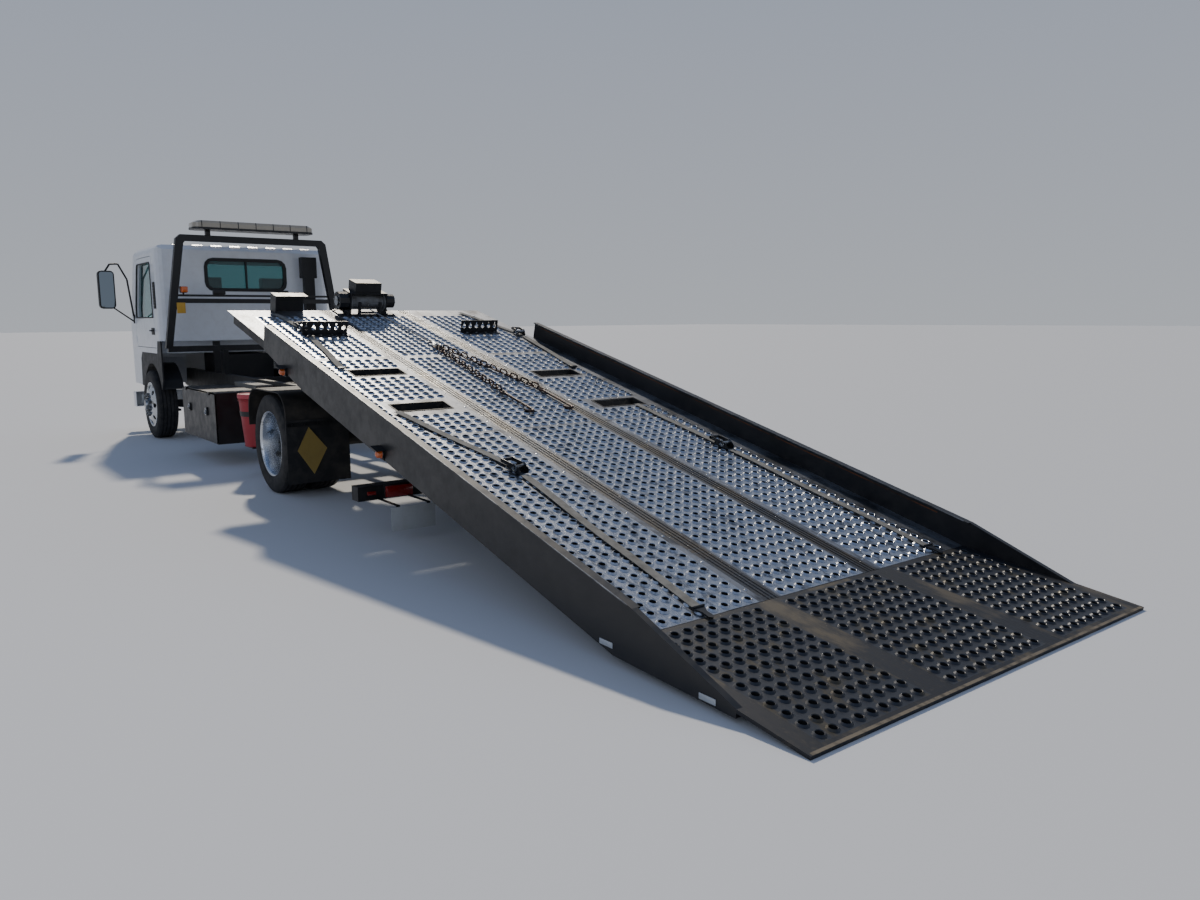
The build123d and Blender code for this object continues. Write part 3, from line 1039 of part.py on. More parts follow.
def cab_shell():
    outline = cab_points(CAB_OUTLINE)
    shell = cab_body()
    room = face_plate(shrunk(outline, CAB_WALL), (-CAB_HALF_WIDTH + CAB_WALL, CAB_HALF_WIDTH - CAB_WALL))
    tunnel = TUNNEL_HALF_WIDTH + CAB_WALL
    shell -= room - block((NOSE_X - 800, CAB_FRONT_X), (-tunnel, tunnel), (500, TUNNEL_TOP + CAB_WALL))
    shell -= side_plate(cab_points(DOOR_OUTLINE), (-CAB_HALF_WIDTH - 1, CAB_HALF_WIDTH + 1))
    shell -= screen_block(860, 370, (-90, 60))
    for side in (1, -1):
        for z in HINGE_PINS:
            shell += Pos(HINGE_X, side * CAB_HALF_WIDTH, z - HINGE_LONG / 2) * prism(HINGE_R, HINGE_LONG, 8)
    shell -= rounded_block((CAB_REAR_X - 20, CAB_REAR_X + CAB_WALL + 1), REAR_WINDOW_Y, REAR_WINDOW_Z, WINDOW_CORNER)
    shell -= block((NOSE_X - 700, CAB_FRONT_X - CAB_WALL), (-TUNNEL_HALF_WIDTH, TUNNEL_HALF_WIDTH), (600, TUNNEL_TOP))
    for side in (1, -1):
        y = sorted((side * 360, side * 386))
        lug = [(CAB_PIVOT_X - 34, CAB_PIVOT_Z), (CAB_PIVOT_X - 20, CAB_PIVOT_Z + 30), (NOSE_X - 110, 720), (NOSE_X - 110, 625), (CAB_PIVOT_X + 28, CAB_PIVOT_Z - 20), (CAB_PIVOT_X, CAB_PIVOT_Z - 34)]
        shell += side_plate(lug, y)
    # The hinge pins have flat sides, to spare facets, apart from one truly round end that marks the axis.
    shell += cross_bar(CAB_PIN, 70, CAB_PIVOT_X, -373, CAB_PIVOT_Z)
    shell += cross_bar(CAB_PIN, 48, CAB_PIVOT_X, 362, CAB_PIVOT_Z)
    shell += Pos(0, 397, 0) * cross_pin(CAB_PIN, 22, CAB_PIVOT_X, CAB_PIVOT_Z)
    return shell


keep("cab_shell", cab_shell())


def window_block(x, margin):
    """The rear window's rounded outline, grown by a margin on every side."""
    y = (REAR_WINDOW_Y[0] - margin, REAR_WINDOW_Y[1] + margin)
    z = (REAR_WINDOW_Z[0] - margin, REAR_WINDOW_Z[1] + margin)
    return rounded_block(x, y, z, WINDOW_CORNER + margin)


GLASS_DEPTH = 20
rear_glass = window_block((CAB_REAR_X + GLASS_DEPTH, CAB_REAR_X + GLASS_DEPTH + GLASS), -GAP)
keep("cab_glass", rear_glass, screen_block(860 - GAP, 370 - GAP, (-20 - GLASS, -20)))
keep("cab_interior",
     *[joined(block((NOSE_X - 1390, NOSE_X - 900), (y - 240, y + 240), (1015 + CAB_WALL + GAP, 1330)), block((NOSE_X - 1500, NOSE_X - 1375), (y - 240, y + 240), (1290, 1900))) for y in (480, -480)],
     joined(block((NOSE_X - 480, NOSE_X - 240), (-944.7, 944.7), (1120, 1400)), bar((NOSE_X - 470, 480, 1350), (NOSE_X - 660, 480, 1480), 22)))

# Outside mirrors: tall rounded heads on an arm that loops from the pillar's top, with a stay below.
MIRROR_BACK = 395
MIRROR_LOOP = ((13, 1450), (60, 1900), (150, 2085), (240, 2080), (300, 1990))


def cab_mirror(side):
    x = NOSE_X - MIRROR_BACK
    flat = CAB_HALF_WIDTH + GAP
    head = rounded_block((x - 40, x + 40), sorted((side * 1205, side * 1385)), (1540, 2000), 45)
    foot = block((x - 20, x + 20), sorted((side * flat, side * (flat + 16))), (1360, 1470))
    arms = []
    for (y0, z0), (y1, z1) in zip(MIRROR_LOOP, MIRROR_LOOP[1:]):
        arms.append(bar((x, side * (flat + y0), z0), (x, side * (flat + y1), z1), 11, 6))
    arms.append(bar((x, side * (flat + 13), 1385), (x, side * 1240, 1560), 9, 6))
    return joined(head, foot, *arms)


keep("mirrors", cab_mirror(1), cab_mirror(-1))

# Air intake behind the cab, on the chassis.
INTAKE = (NOSE_X - 1800, -710)
intake = block((INTAKE[0] - 45, INTAKE[0] + 45), (INTAKE[1] - 60, INTAKE[1] + 60), (900, 2080))
intake += block((INTAKE[0] - 50, INTAKE[0] + 60), (INTAKE[1] - 90, INTAKE[1] + 90), (1900, 2150))
intake += block((INTAKE[0] - 45, INTAKE[0] + 45), (INTAKE[1] - 60, -366), (800, 900))
intake += block((INTAKE[0] - 45, INTAKE[0] + 45), (-425, -366), (FRAME_TOP + GAP, 801))
keep("air_intake", intake)

# Black trim on the cab: window rubber, side vents, grille, and mudguards that fill in below the doors.
MUDGUARD_R = 488
MUDGUARD_PLATE = 6
MUDGUARD_Y = (760, 1000)
MUDGUARD_FOOT = 600
SKIRT_THICK = 15
GRILLE_SLATS = 5
GRILLE_Z = (650, 870)
RUBBER = 28
SKIRT = [(1660, 1200), (1660, 700), (1600, 600), (560, 600), (500, 700), (500, 1200)]
VENT_BACK = (1505, 1595)
VENT_Z = (1530, 1830)


def window_rubber():
    """A rubber ring round the rear window, a lining in its opening and a bar down its middle."""
    lip = (CAB_REAR_X - 9, CAB_REAR_X - GAP)
    lining = (lip[0], CAB_REAR_X + GLASS_DEPTH - GAP)
    inside = window_block((lip[0] - 1, lining[1] + 1), -10)
    middle = block(lining, (-9, 9), (REAR_WINDOW_Z[0] + 5, REAR_WINDOW_Z[1] - 5))
    return joined((window_block(lip, RUBBER) + window_block(lining, -GAP)) - inside, middle)


def grille():
    x = CAB_FRONT_X + GAP
    panel = block((x, x + 14), (-540, 540), GRILLE_Z)
    pitch = (GRILLE_Z[1] - GRILLE_Z[0] - 20) / GRILLE_SLATS
    for k in range(GRILLE_SLATS):
        low = GRILLE_Z[0] + 13 + k * pitch
        panel -= block((x + 5, x + 15), (-515, 515), (low, low + pitch - 12))
    return panel


def tyre_room(radius):
    """A flat-sided bar across the truck about the front axle."""
    return cross_bar(radius, 4 * CAB_HALF_WIDTH, FRONT_AXLE_X, 0, AXLE_Z, FACETS)


def mudguard(side):
    """A plate round the front tyre, with a skirt that fills the side between it and the cab."""
    y_arch = sorted((side * MUDGUARD_Y[0], side * MUDGUARD_Y[1]))
    window = block((FRONT_AXLE_X - 600, FRONT_AXLE_X + 600), y_arch, (MUDGUARD_FOOT, 1000))
    arch = (window & tyre_room(MUDGUARD_R + MUDGUARD_PLATE)) - tyre_room(MUDGUARD_R)
    y_skirt = sorted((side * (MUDGUARD_Y[1] - SKIRT_THICK), side * MUDGUARD_Y[1]))
    cab_side = face_plate(shrunk(cab_points(CAB_OUTLINE), -GAP), (-2 * CAB_HALF_WIDTH, 2 * CAB_HALF_WIDTH))
    skirt = side_plate(cab_points(SKIRT), y_skirt) - cab_side - tyre_room(MUDGUARD_R)
    return joined(arch, skirt)


vents = []
for side in (1, -1):
    y = sorted((side * (CAB_HALF_WIDTH + GAP), side * (CAB_HALF_WIDTH + 8)))
    vents.append(block((NOSE_X - VENT_BACK[1], NOSE_X - VENT_BACK[0]), y, VENT_Z))
keep("cab_trim", window_rubber(), vents, grille(), mudguard(1), mudguard(-1))

# Doors with windows.
def door(side):
    outline = shrunk(cab_points(DOOR_OUTLINE), DOOR_GAP)
    y = sorted((side * (CAB_HALF_WIDTH - CAB_WALL), side * CAB_HALF_WIDTH))
    panel = face_plate(outline, y)
    panel -= side_plate(cab_points(WINDOW_OUTLINE), (-CAB_HALF_WIDTH - 1, CAB_HALF_WIDTH + 1))
    for z in HINGE_PINS:
        panel -= Pos(HINGE_X, side * CAB_HALF_WIDTH, z) * Cylinder(HINGE_R + RUNNING_FIT, HINGE_LONG + 2)
    return panel


def door_glass(side):
    face = shrunk(cab_points(WINDOW_OUTLINE), GAP)
    return face_plate(face, sorted((side * (CAB_HALF_WIDTH - 30 - GLASS), side * (CAB_HALF_WIDTH - 30))))


for name, side in (("left", 1), ("right", -1)):
    keep(f"door_{name}", door(side))
    keep(f"door_glass_{name}", door_glass(side))

os.makedirs("parts", exist_ok=True)
for name, shape in PARTS.items():
    shape.label = name
    export_step(shape, f"parts/{name}.step")
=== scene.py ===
"""Flatbed tow truck, parked with its bed slid back and tilted, its tail on the ground.

Lengths are in metres, in the frame of the CAD model: +X runs to the cab, +Y to the driver's left and +Z up,
from a point on the ground half way along the truck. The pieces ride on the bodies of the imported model.
"""
import random
from math import atan2, cos, hypot, pi, radians, sin

import bmesh
import bpy
from mathutils import Matrix, Vector


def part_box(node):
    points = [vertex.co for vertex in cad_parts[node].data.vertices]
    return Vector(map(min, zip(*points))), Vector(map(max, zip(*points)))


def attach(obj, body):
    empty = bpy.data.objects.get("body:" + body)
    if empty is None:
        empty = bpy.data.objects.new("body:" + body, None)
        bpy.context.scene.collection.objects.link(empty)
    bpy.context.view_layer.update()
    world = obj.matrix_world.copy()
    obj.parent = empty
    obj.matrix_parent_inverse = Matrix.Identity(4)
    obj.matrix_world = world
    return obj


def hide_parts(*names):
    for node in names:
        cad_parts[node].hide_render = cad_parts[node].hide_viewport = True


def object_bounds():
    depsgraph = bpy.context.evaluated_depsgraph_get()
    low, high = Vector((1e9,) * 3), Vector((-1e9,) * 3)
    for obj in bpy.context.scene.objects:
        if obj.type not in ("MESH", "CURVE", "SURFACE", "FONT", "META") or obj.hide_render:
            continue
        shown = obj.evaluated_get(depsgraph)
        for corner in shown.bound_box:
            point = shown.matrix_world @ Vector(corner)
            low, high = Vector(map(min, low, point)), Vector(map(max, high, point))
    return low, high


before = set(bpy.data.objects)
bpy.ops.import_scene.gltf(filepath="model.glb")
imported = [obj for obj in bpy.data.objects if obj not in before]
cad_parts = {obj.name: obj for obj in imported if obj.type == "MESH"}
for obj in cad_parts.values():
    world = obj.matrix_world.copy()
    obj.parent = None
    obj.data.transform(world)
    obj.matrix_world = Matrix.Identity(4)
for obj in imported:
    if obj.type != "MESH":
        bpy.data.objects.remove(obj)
cad_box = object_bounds()

# Camera, floor and light. The lens stands where the photograph was taken from, behind the bed's left corner.
# The floor is a plain pale plane. A pale gradient sky and one wide soft lamp fill the shadows of a warm sun.
TAIL_X, NOSE_X = cad_box[0][0], cad_box[1][0]
CAMERA_AT = Vector((TAIL_X - 1.768, 3.415, 1.403))
CAMERA_YAW, CAMERA_PITCH, CAMERA_ROLL = radians(37.47), radians(8.26), radians(-0.32)
CAMERA_FOCAL_PIXELS = 913.7
PHOTO_WIDTH = 1200
SENSOR_WIDTH = 36
FARTHEST_SEEN = 400

level_run = cos(CAMERA_PITCH)
looking = Vector((cos(CAMERA_YAW) * level_run, -sin(CAMERA_YAW) * level_run, -sin(CAMERA_PITCH)))
level_right = Vector((-sin(CAMERA_YAW), -cos(CAMERA_YAW), 0))
level_up = level_right.cross(looking)
camera_right = cos(CAMERA_ROLL) * level_right + sin(CAMERA_ROLL) * level_up
camera_up = cos(CAMERA_ROLL) * level_up - sin(CAMERA_ROLL) * level_right
camera_turn = Matrix((camera_right, camera_up, -looking)).transposed().to_4x4()

lens = bpy.data.cameras.new("camera")
lens.sensor_width = SENSOR_WIDTH
lens.lens = CAMERA_FOCAL_PIXELS / PHOTO_WIDTH * SENSOR_WIDTH
lens.clip_end = FARTHEST_SEEN
camera = bpy.data.objects.new("camera", lens)
camera.matrix_world = Matrix.Translation(CAMERA_AT) @ camera_turn
bpy.context.collection.objects.link(camera)
bpy.context.scene.camera = camera


def to_linear(hex_colour):
    """An sRGB hex colour as the linear RGBA that shaders take."""
    channels = [int(hex_colour[i:i + 2], 16) / 255 for i in (1, 3, 5)]
    return (*[c / 12.92 if c <= 0.04045 else ((c + 0.055) / 1.055) ** 2.4 for c in channels], 1)


def add_node(tree, kind, feeds=None, **settings):
    """Adds a node with its settings; each feed is a plain value or another node's output."""
    node = tree.nodes.new(kind)
    for name, value in settings.items():
        setattr(node, name, value)
    for socket, value in (feeds or {}).items():
        if isinstance(value, bpy.types.NodeSocket):
            tree.links.new(value, node.inputs[socket])
        else:
            node.inputs[socket].default_value = value
    return node


def new_material(name, **plain):
    """An empty material, with its tree and its shader; plain values go to the shader's sockets."""
    material = bpy.data.materials.new(name)
    material.use_nodes = True
    tree = material.node_tree
    tree.nodes.clear()
    shader = add_node(tree, "ShaderNodeBsdfPrincipled")
    add_node(tree, "ShaderNodeOutputMaterial", {"Surface": shader.outputs[0]})
    for socket, value in plain.items():
        shader.inputs[socket.replace("_", " ")].default_value = value
    return material, tree, shader


FLOOR_SIZE = 120
# Matt pale paint, so the floor shows the truck's shadow and no gloss.
floor_paint, _, _ = new_material("studio_floor", Base_Color=to_linear("#c9cbcd"), Roughness=0.9)
bm = bmesh.new()
bmesh.ops.create_grid(bm, x_segments=1, y_segments=1, size=FLOOR_SIZE)
floor_mesh = bpy.data.meshes.new("studio_floor")
bm.to_mesh(floor_mesh)
bm.free()
floor_mesh.materials.append(floor_paint)
floor = bpy.data.objects.new("studio_floor", floor_mesh)
bpy.context.collection.objects.link(floor)

SKY_LOW, SKY_HIGH, SKY_STRENGTH = "#e3e8f0", "#7d9cd2", 0.6
world = bpy.data.worlds.new("studio_sky")
bpy.context.scene.world = world
world.use_nodes = True
sky = world.node_tree
sky.nodes.clear()
sky_up = add_node(sky, "ShaderNodeTexCoord")
sky_split = add_node(sky, "ShaderNodeSeparateXYZ", {0: sky_up.outputs["Generated"]})
sky_ramp = add_node(sky, "ShaderNodeValToRGB", {"Fac": sky_split.outputs["Z"]})
sky_ramp.color_ramp.elements[0].color = to_linear(SKY_LOW)
sky_ramp.color_ramp.elements[1].color = to_linear(SKY_HIGH)
sky_feeds = {"Color": sky_ramp.outputs[0], "Strength": SKY_STRENGTH}
sky_light = add_node(sky, "ShaderNodeBackground", sky_feeds)
add_node(sky, "ShaderNodeOutputWorld", {"Surface": sky_light.outputs[0]})


def add_lamp(name, kind, place, target, energy, colour, **settings):
    """A studio lamp that looks at a point."""
    data = bpy.data.lights.new(name, kind)
    data.energy = energy
    data.color = to_linear(colour)[:3]
    for key, value in settings.items():
        setattr(data, key, value)
    lamp = bpy.data.objects.new(name, data)
    lamp.location = place
    lamp.rotation_euler = (Vector(target) - Vector(place)).to_track_quat("-Z", "Y").to_euler()
    bpy.context.collection.objects.link(lamp)


# The sun stands ahead and a little to the right, so it glances off the deck towards the lens.
SUN_AT, SUN_AIM, SUN_STRENGTH, SUN_WIDTH = (12, -4.6, 11), (0, 0, 0.5), 3.2, radians(3)
FILL_AT, FILL_AIM, FILL_WATTS, FILL_SIZE = (-7, 10, 5), (0, 0, 1), 200, 9
add_lamp("key", "SUN", SUN_AT, SUN_AIM, SUN_STRENGTH, "#fff4e2", angle=SUN_WIDTH)
add_lamp("fill", "AREA", FILL_AT, FILL_AIM, FILL_WATTS, "#dfe8ff", size=FILL_SIZE)


# The bed's deck: aluminium panels punched with rows of raised holes, in a left, a centre and a right run.
# Each hole's rim is pressed up as a collar for grip. Strap slots with dark welded walls cut the outer panels,
# and domed rivets hold the panels down along the plain bands beside the channels.
RAMP_TILT, DECK_TILT = radians(7.5), radians(14.2)
RAMP_LENGTH, DECK_LENGTH = 0.94, 5.46
RAMP_SKIN, DECK_SKIN = 0.015, 0.005
ramp_place = Matrix.Translation((TAIL_X, 0, RAMP_SKIN * cos(RAMP_TILT))) @ Matrix.Rotation(-RAMP_TILT, 4, "Y")
seam = ramp_place @ Vector((RAMP_LENGTH, 0, 0))
deck_place = Matrix.Translation(seam) @ Matrix.Rotation(-DECK_TILT, 4, "Y")

HOLE_RADIUS = 0.0165
COLLAR_TOP_RADIUS = 0.0190
COLLAR_FOOT_RADIUS = 0.0270
COLLAR_RISE = 0.0080
COLLAR_NECK = 0.7
ROW_PITCH = 0.0735
THIRD = 1 / 3
CELL_WALK = [
    (1, -THIRD), (1, THIRD), (1, 1), (THIRD, 1), (-THIRD, 1), (-1, 1),
    (-1, THIRD), (-1, -THIRD), (-1, -1), (-THIRD, -1), (THIRD, -1), (1, -1),
]


def punched_cell(along, across, skin, sides=12):
    """One rectangle of plate round one hole; its materials are plate, collar and bore."""
    bm = bmesh.new()
    rings = [
        (HOLE_RADIUS, -skin),
        (HOLE_RADIUS, COLLAR_RISE * COLLAR_NECK),
        (COLLAR_TOP_RADIUS, COLLAR_RISE),
        (COLLAR_FOOT_RADIUS, 0),
    ]
    start = Matrix.Translation((0, 0, -skin)) @ Matrix.Rotation(pi / sides, 4, "Z")
    circle = bmesh.ops.create_circle(bm, segments=sides, radius=HOLE_RADIUS, matrix=start)
    edge = list(dict.fromkeys(e for v in circle["verts"] for e in v.link_edges))
    lowest = edge
    for (r0, z0), (r1, z1), index in zip(rings, rings[1:], (2, 1, 1)):
        grown = bmesh.ops.extrude_edge_only(bm, edges=edge)["geom"]
        points = [g for g in grown if isinstance(g, bmesh.types.BMVert)]
        edge = [g for g in grown if isinstance(g, bmesh.types.BMEdge)]
        bmesh.ops.scale(bm, vec=(r1 / r0, r1 / r0, 1), verts=points)
        bmesh.ops.translate(bm, vec=(0, 0, z1 - z0), verts=points)
        for face in (g for g in grown if isinstance(g, bmesh.types.BMFace)):
            face.material_index = index
    for ring, height in ((edge, 0.0), (lowest, -skin)):
        corners = [bm.verts.new((sx * along / 2, sy * across / 2, height)) for sx, sy in CELL_WALK]
        rim = [bm.edges.new((a, b)) for a, b in zip(corners, corners[1:] + corners[:1])]
        bmesh.ops.bridge_loops(bm, edges=list(ring) + rim)
    bmesh.ops.recalc_face_normals(bm, faces=bm.faces)
    return as_mesh(bm, "punched_cell")


def as_mesh(bm, name):
    """Turns a bmesh into a mesh for copies."""
    mesh = bpy.data.meshes.new(name)
    bm.to_mesh(mesh)
    bm.free()
    return mesh


def add_cell(bm, cell, place):
    """Adds a copy of a small mesh at a place."""
    start = len(bm.verts)
    bm.from_mesh(cell)
    bm.verts.ensure_lookup_table()
    bmesh.ops.transform(bm, matrix=place, verts=bm.verts[start:])


def add_block(bm, x, y, z, bevel=0.0):
    """Adds a box from its limits, with its edges rounded by a bevel."""
    (x0, x1), (y0, y1), (z0, z1) = sorted(x), sorted(y), sorted(z)
    middle = ((x0 + x1) / 2, (y0 + y1) / 2, (z0 + z1) / 2)
    place = Matrix.Translation(middle) @ Matrix.Diagonal((x1 - x0, y1 - y0, z1 - z0, 1))
    corners = bmesh.ops.create_cube(bm, size=1, matrix=place)["verts"]
    if bevel:
        edges = list(dict.fromkeys(e for v in corners for e in v.link_edges))
        bmesh.ops.bevel(bm, geom=edges, offset=bevel, segments=2, profile=0.5, affect="EDGES", material=-1)
    return corners


def about(middle, half):
    """The limits of a span from its middle."""
    return (middle - half, middle + half)


LEAST_BAND = 1e-4


def ring_of_blocks(bm, outer, inner, z):
    """Plain plate between an outer and an inner rectangle, each ((x0, x1), (y0, y1))."""
    (ox, oy), (ix, iy) = outer, inner
    for x, y in (((ox[0], ix[0]), oy), ((ix[1], ox[1]), oy), (ix, (oy[0], iy[0])), (ix, (iy[1], oy[1]))):
        if x[1] - x[0] > LEAST_BAND and y[1] - y[0] > LEAST_BAND:
            add_block(bm, x, y, z)


def add_round(bm, start, end, radius, sides=16, end_radius=None):
    """Adds a round bar or a cone from one point to another, closed at both ends."""
    run = Vector(end) - Vector(start)
    turn = run.to_track_quat("Z", "Y").to_matrix().to_4x4()
    place = Matrix.Translation((Vector(start) + Vector(end)) / 2) @ turn
    far = radius if end_radius is None else end_radius
    bmesh.ops.create_cone(
        bm, cap_ends=True, segments=sides, radius1=radius, radius2=far, depth=run.length, matrix=place)


def tint(bm, before, index):
    """Gives the faces that weren't there before another of the piece's materials."""
    for face in bm.faces:
        if face not in before:
            face.material_index = index


def finish_piece(bm, name, materials, body, place=None, replaced=(), sharp=35):
    """Turns a bmesh into a finished piece, with its place in its mesh, its looks and its body."""
    bmesh.ops.recalc_face_normals(bm, faces=bm.faces)
    if place is not None:
        bmesh.ops.transform(bm, matrix=place, verts=bm.verts)
    mesh = as_mesh(bm, name)
    for face in mesh.polygons:
        face.use_smooth = True
    mesh.set_sharp_from_angle(angle=radians(sharp))
    for material in materials:
        mesh.materials.append(material)
    piece = bpy.data.objects.new(name, mesh)
    bpy.context.collection.objects.link(piece)
    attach(piece, body)
    if replaced:
        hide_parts(*replaced)
    return piece


def object_noise(tree, size_mm, detail=4, roughness=0.55, stretch=(1, 1, 1), along=0.0):
    """Noise of a real size on Object coordinates; along turns its X up a slope."""
    at = add_node(tree, "ShaderNodeTexCoord")
    feeds = {"Vector": at.outputs["Object"], "Rotation": (0, along, 0), "Scale": stretch}
    turned = add_node(tree, "ShaderNodeMapping", feeds)
    feeds = {"Vector": turned.outputs[0], "Scale": 1000 / size_mm, "Detail": detail, "Roughness": roughness}
    return add_node(tree, "ShaderNodeTexNoise", feeds).outputs[0]


def spread(tree, value, low, high, to_low=0.0, to_high=1.0):
    """Maps one range of a value to another and clamps it."""
    feeds = {"Value": value, "From Min": low, "From Max": high, "To Min": to_low, "To Max": to_high}
    return add_node(tree, "ShaderNodeMapRange", feeds).outputs[0]


def mixed(tree, share, first, second):
    """Mixes two colours, each a hex colour or a node's output."""
    first, second = [to_linear(c) if isinstance(c, str) else c for c in (first, second)]
    feeds = {"Factor": share, 6: first, 7: second}
    return add_node(tree, "ShaderNodeMix", feeds, data_type="RGBA").outputs[2]


def add_relief(tree, height, strength, depth):
    """Small relief in the surface from a height."""
    feeds = {"Height": height, "Strength": strength, "Distance": depth}
    return add_node(tree, "ShaderNodeBump", feeds).outputs[0]


def feed(tree, shader, **sources):
    """Links outputs to the shader's sockets."""
    for socket, source in sources.items():
        tree.links.new(source, shader.inputs[socket.replace("_", " ")])


def worn_metal(name, base, grime, metallic, roughness, grime_mm, grime_share=0.5):
    """Bare plate with dirt trodden into it, drag marks along the bed and small dark spots."""
    material, tree, shader = new_material(name, Metallic=metallic)
    dirt = object_noise(tree, grime_mm, detail=8, roughness=0.65, stretch=(0.5, 1, 1), along=DECK_TILT)
    share = spread(tree, dirt, 0.62 - grime_share * 0.3, 0.62)
    spots = object_noise(tree, grime_mm / 9, detail=3, roughness=0.7, along=DECK_TILT)
    speckle = spread(tree, spots, 0.60, 0.72, 0, grime_share)
    colour = mixed(tree, speckle, mixed(tree, share, base, grime), grime)
    drag = object_noise(tree, 6, detail=3, roughness=0.7, stretch=(0.03, 1, 1), along=DECK_TILT)
    gloss = spread(tree, drag, 0.3, 0.7, roughness - 0.08, roughness + 0.14)
    feed(tree, shader, Base_Color=colour, Roughness=gloss, Normal=add_relief(tree, drag, 0.12, 0.001))
    return material


# Aluminium plate gone dull under grey traffic film, collars glossy where tyres rub and lighter as a painted
# highlight, hole walls near black as painted shade, and dark painted walls in the slots.
deck_plate = worn_metal("aluminium_deck_plate", "#80848b", "#45474b", 0.8, 0.42, 180, grime_share=0.5)
rubbed_metal_painted_highlight = worn_metal("rubbed_collar_painted_highlight", "#b4b8be", "#7b7e83", 0.95, 0.28, 60, grime_share=0.3)
hole_wall_painted_shade = worn_metal("painted_shade_in_the_holes", "#0e0f11", "#1d1c1a", 0.1, 0.75, 40, grime_share=0.3)
slot_steel = worn_metal("painted_slot_walls", "#1b1d21", "#3a3733", 0.2, 0.55, 60, grime_share=0.3)

CHANNEL_Y, CHANNEL_WIDTH = 0.363, 0.096
PANEL_SPACE = 0.0015
PANEL_JOINTS = (2.300, 3.980)
DECK_HALF_WIDTH = 1.190
SIDE_COLUMNS, SIDE_PITCH, SIDE_FIRST = 8, 0.0731, 0.486
CENTRE_COLUMNS, CENTRE_PITCH = 9, 0.067
SLOT_LENGTH, SLOT_WIDTH, SLOT_DEPTH, SLOT_WALL = 0.140, 0.385, 0.062, 0.004
SLOTS = {1: ((3.530, 0.683), (2.760, 0.715)), -1: ((3.312, 0.735), (2.560, 0.785)), 0: ()}
PANEL_END = 0.004
BARE_FRONT_ROWS = 2
SLOT_MARGIN, SLOT_SPARE = 0.02, 0.005
PANEL_EDGE = CHANNEL_Y + CHANNEL_WIDTH / 2 + PANEL_SPACE / 2
CENTRE_HALF = CHANNEL_Y - CHANNEL_WIDTH / 2 - PANEL_SPACE / 2


def deck_run(name, side):
    """One run of panels: side is 1 for the left, -1 for the right and 0 for the centre."""
    bm = bmesh.new()
    if side:
        across = tuple(sorted((side * PANEL_EDGE, side * DECK_HALF_WIDTH)))
        pitch = SIDE_PITCH
        middles = sorted(side * (SIDE_FIRST + k * pitch) for k in range(SIDE_COLUMNS))
    else:
        across = (-CENTRE_HALF, CENTRE_HALF)
        pitch = CENTRE_PITCH
        middles = [(k - (CENTRE_COLUMNS - 1) / 2) * pitch for k in range(CENTRE_COLUMNS)]
    cell = punched_cell(ROW_PITCH, pitch, DECK_SKIN)
    stops = (0, *PANEL_JOINTS, DECK_LENGTH)
    for low, high in zip(stops, stops[1:]):
        low, high = low + PANEL_SPACE, high - PANEL_SPACE
        first = low + PANEL_END
        rows = int((high - first - PANEL_END) / ROW_PITCH)
        if low > PANEL_JOINTS[-1]:
            rows -= BARE_FRONT_ROWS
        punched = ((first, first + rows * ROW_PITCH), (middles[0] - pitch / 2, middles[-1] + pitch / 2))
        gaps = []
        for start, middle in SLOTS[side]:
            if low < start < high:
                r0 = int((start - SLOT_MARGIN - first) / ROW_PITCH)
                r1 = int((start + SLOT_LENGTH + SLOT_MARGIN - first) / ROW_PITCH)
                reach = SLOT_WIDTH / 2 + pitch / 2 + SLOT_SPARE
                inside = [k for k, m in enumerate(middles) if abs(m - side * middle) < reach]
                gaps.append((r0, r1, inside[0], inside[-1], start, side * middle))
        for r in range(rows):
            for c, middle in enumerate(middles):
                if not any(r0 <= r <= r1 and c0 <= c <= c1 for r0, r1, c0, c1, _, _ in gaps):
                    add_cell(bm, cell, Matrix.Translation((first + (r + 0.5) * ROW_PITCH, middle, 0)))
        for r0, r1, c0, c1, start, middle in gaps:
            outer = ((first + r0 * ROW_PITCH, first + (r1 + 1) * ROW_PITCH),
                     (middles[c0] - pitch / 2, middles[c1] + pitch / 2))
            inner = ((start, start + SLOT_LENGTH), about(middle, SLOT_WIDTH / 2))
            ring_of_blocks(bm, outer, inner, (-DECK_SKIN, 0))
        ring_of_blocks(bm, ((low, high), across), punched, (-DECK_SKIN, 0))
    replaced = ("deck_panels",) if side == 0 else ()
    finish_piece(bm, name, (deck_plate, rubbed_metal_painted_highlight, hole_wall_painted_shade), "bed", deck_place, replaced)


for name, side in (("deck_left", 1), ("deck_centre", 0), ("deck_right", -1)):
    deck_run(name, side)

bm = bmesh.new()
for side, slots in SLOTS.items():
    for start, middle in slots:
        inner = ((start, start + SLOT_LENGTH),
                 (side * middle - SLOT_WIDTH / 2, side * middle + SLOT_WIDTH / 2))
        outer = tuple((a - SLOT_WALL, b + SLOT_WALL) for a, b in inner)
        ring_of_blocks(bm, outer, inner, (-SLOT_DEPTH, -0.0002))
        lip = tuple((a - 2 * SLOT_WALL, b + 2 * SLOT_WALL) for a, b in inner)
        ring_of_blocks(bm, lip, inner, (0.0002, 0.0030))
finish_piece(bm, "strap_slot_walls", (slot_steel,), "bed", deck_place)

RIVET_PITCH, RIVET_FIRST, RIVET_RISE = 0.294, 0.11, 0.0035
RIVET_ROWS = ((-0.430, 0.008), (-0.3085, 0.0048), (0.3085, 0.0048), (0.430, 0.008))
bm = bmesh.new()
for k in range(int((DECK_LENGTH - RIVET_FIRST) / RIVET_PITCH) + 1):
    for y, radius in RIVET_ROWS:
        place = Matrix.Translation((RIVET_FIRST + k * RIVET_PITCH, y, 0))
        place = place @ Matrix.Diagonal((1, 1, RIVET_RISE / radius, 1))
        bmesh.ops.create_uvsphere(bm, u_segments=10, v_segments=6, radius=radius, matrix=place)
# The rivets take the collars' metal, which is lighter as a painted highlight.
finish_piece(bm, "deck_rivets", (rubbed_metal_painted_highlight,), "bed", deck_place)

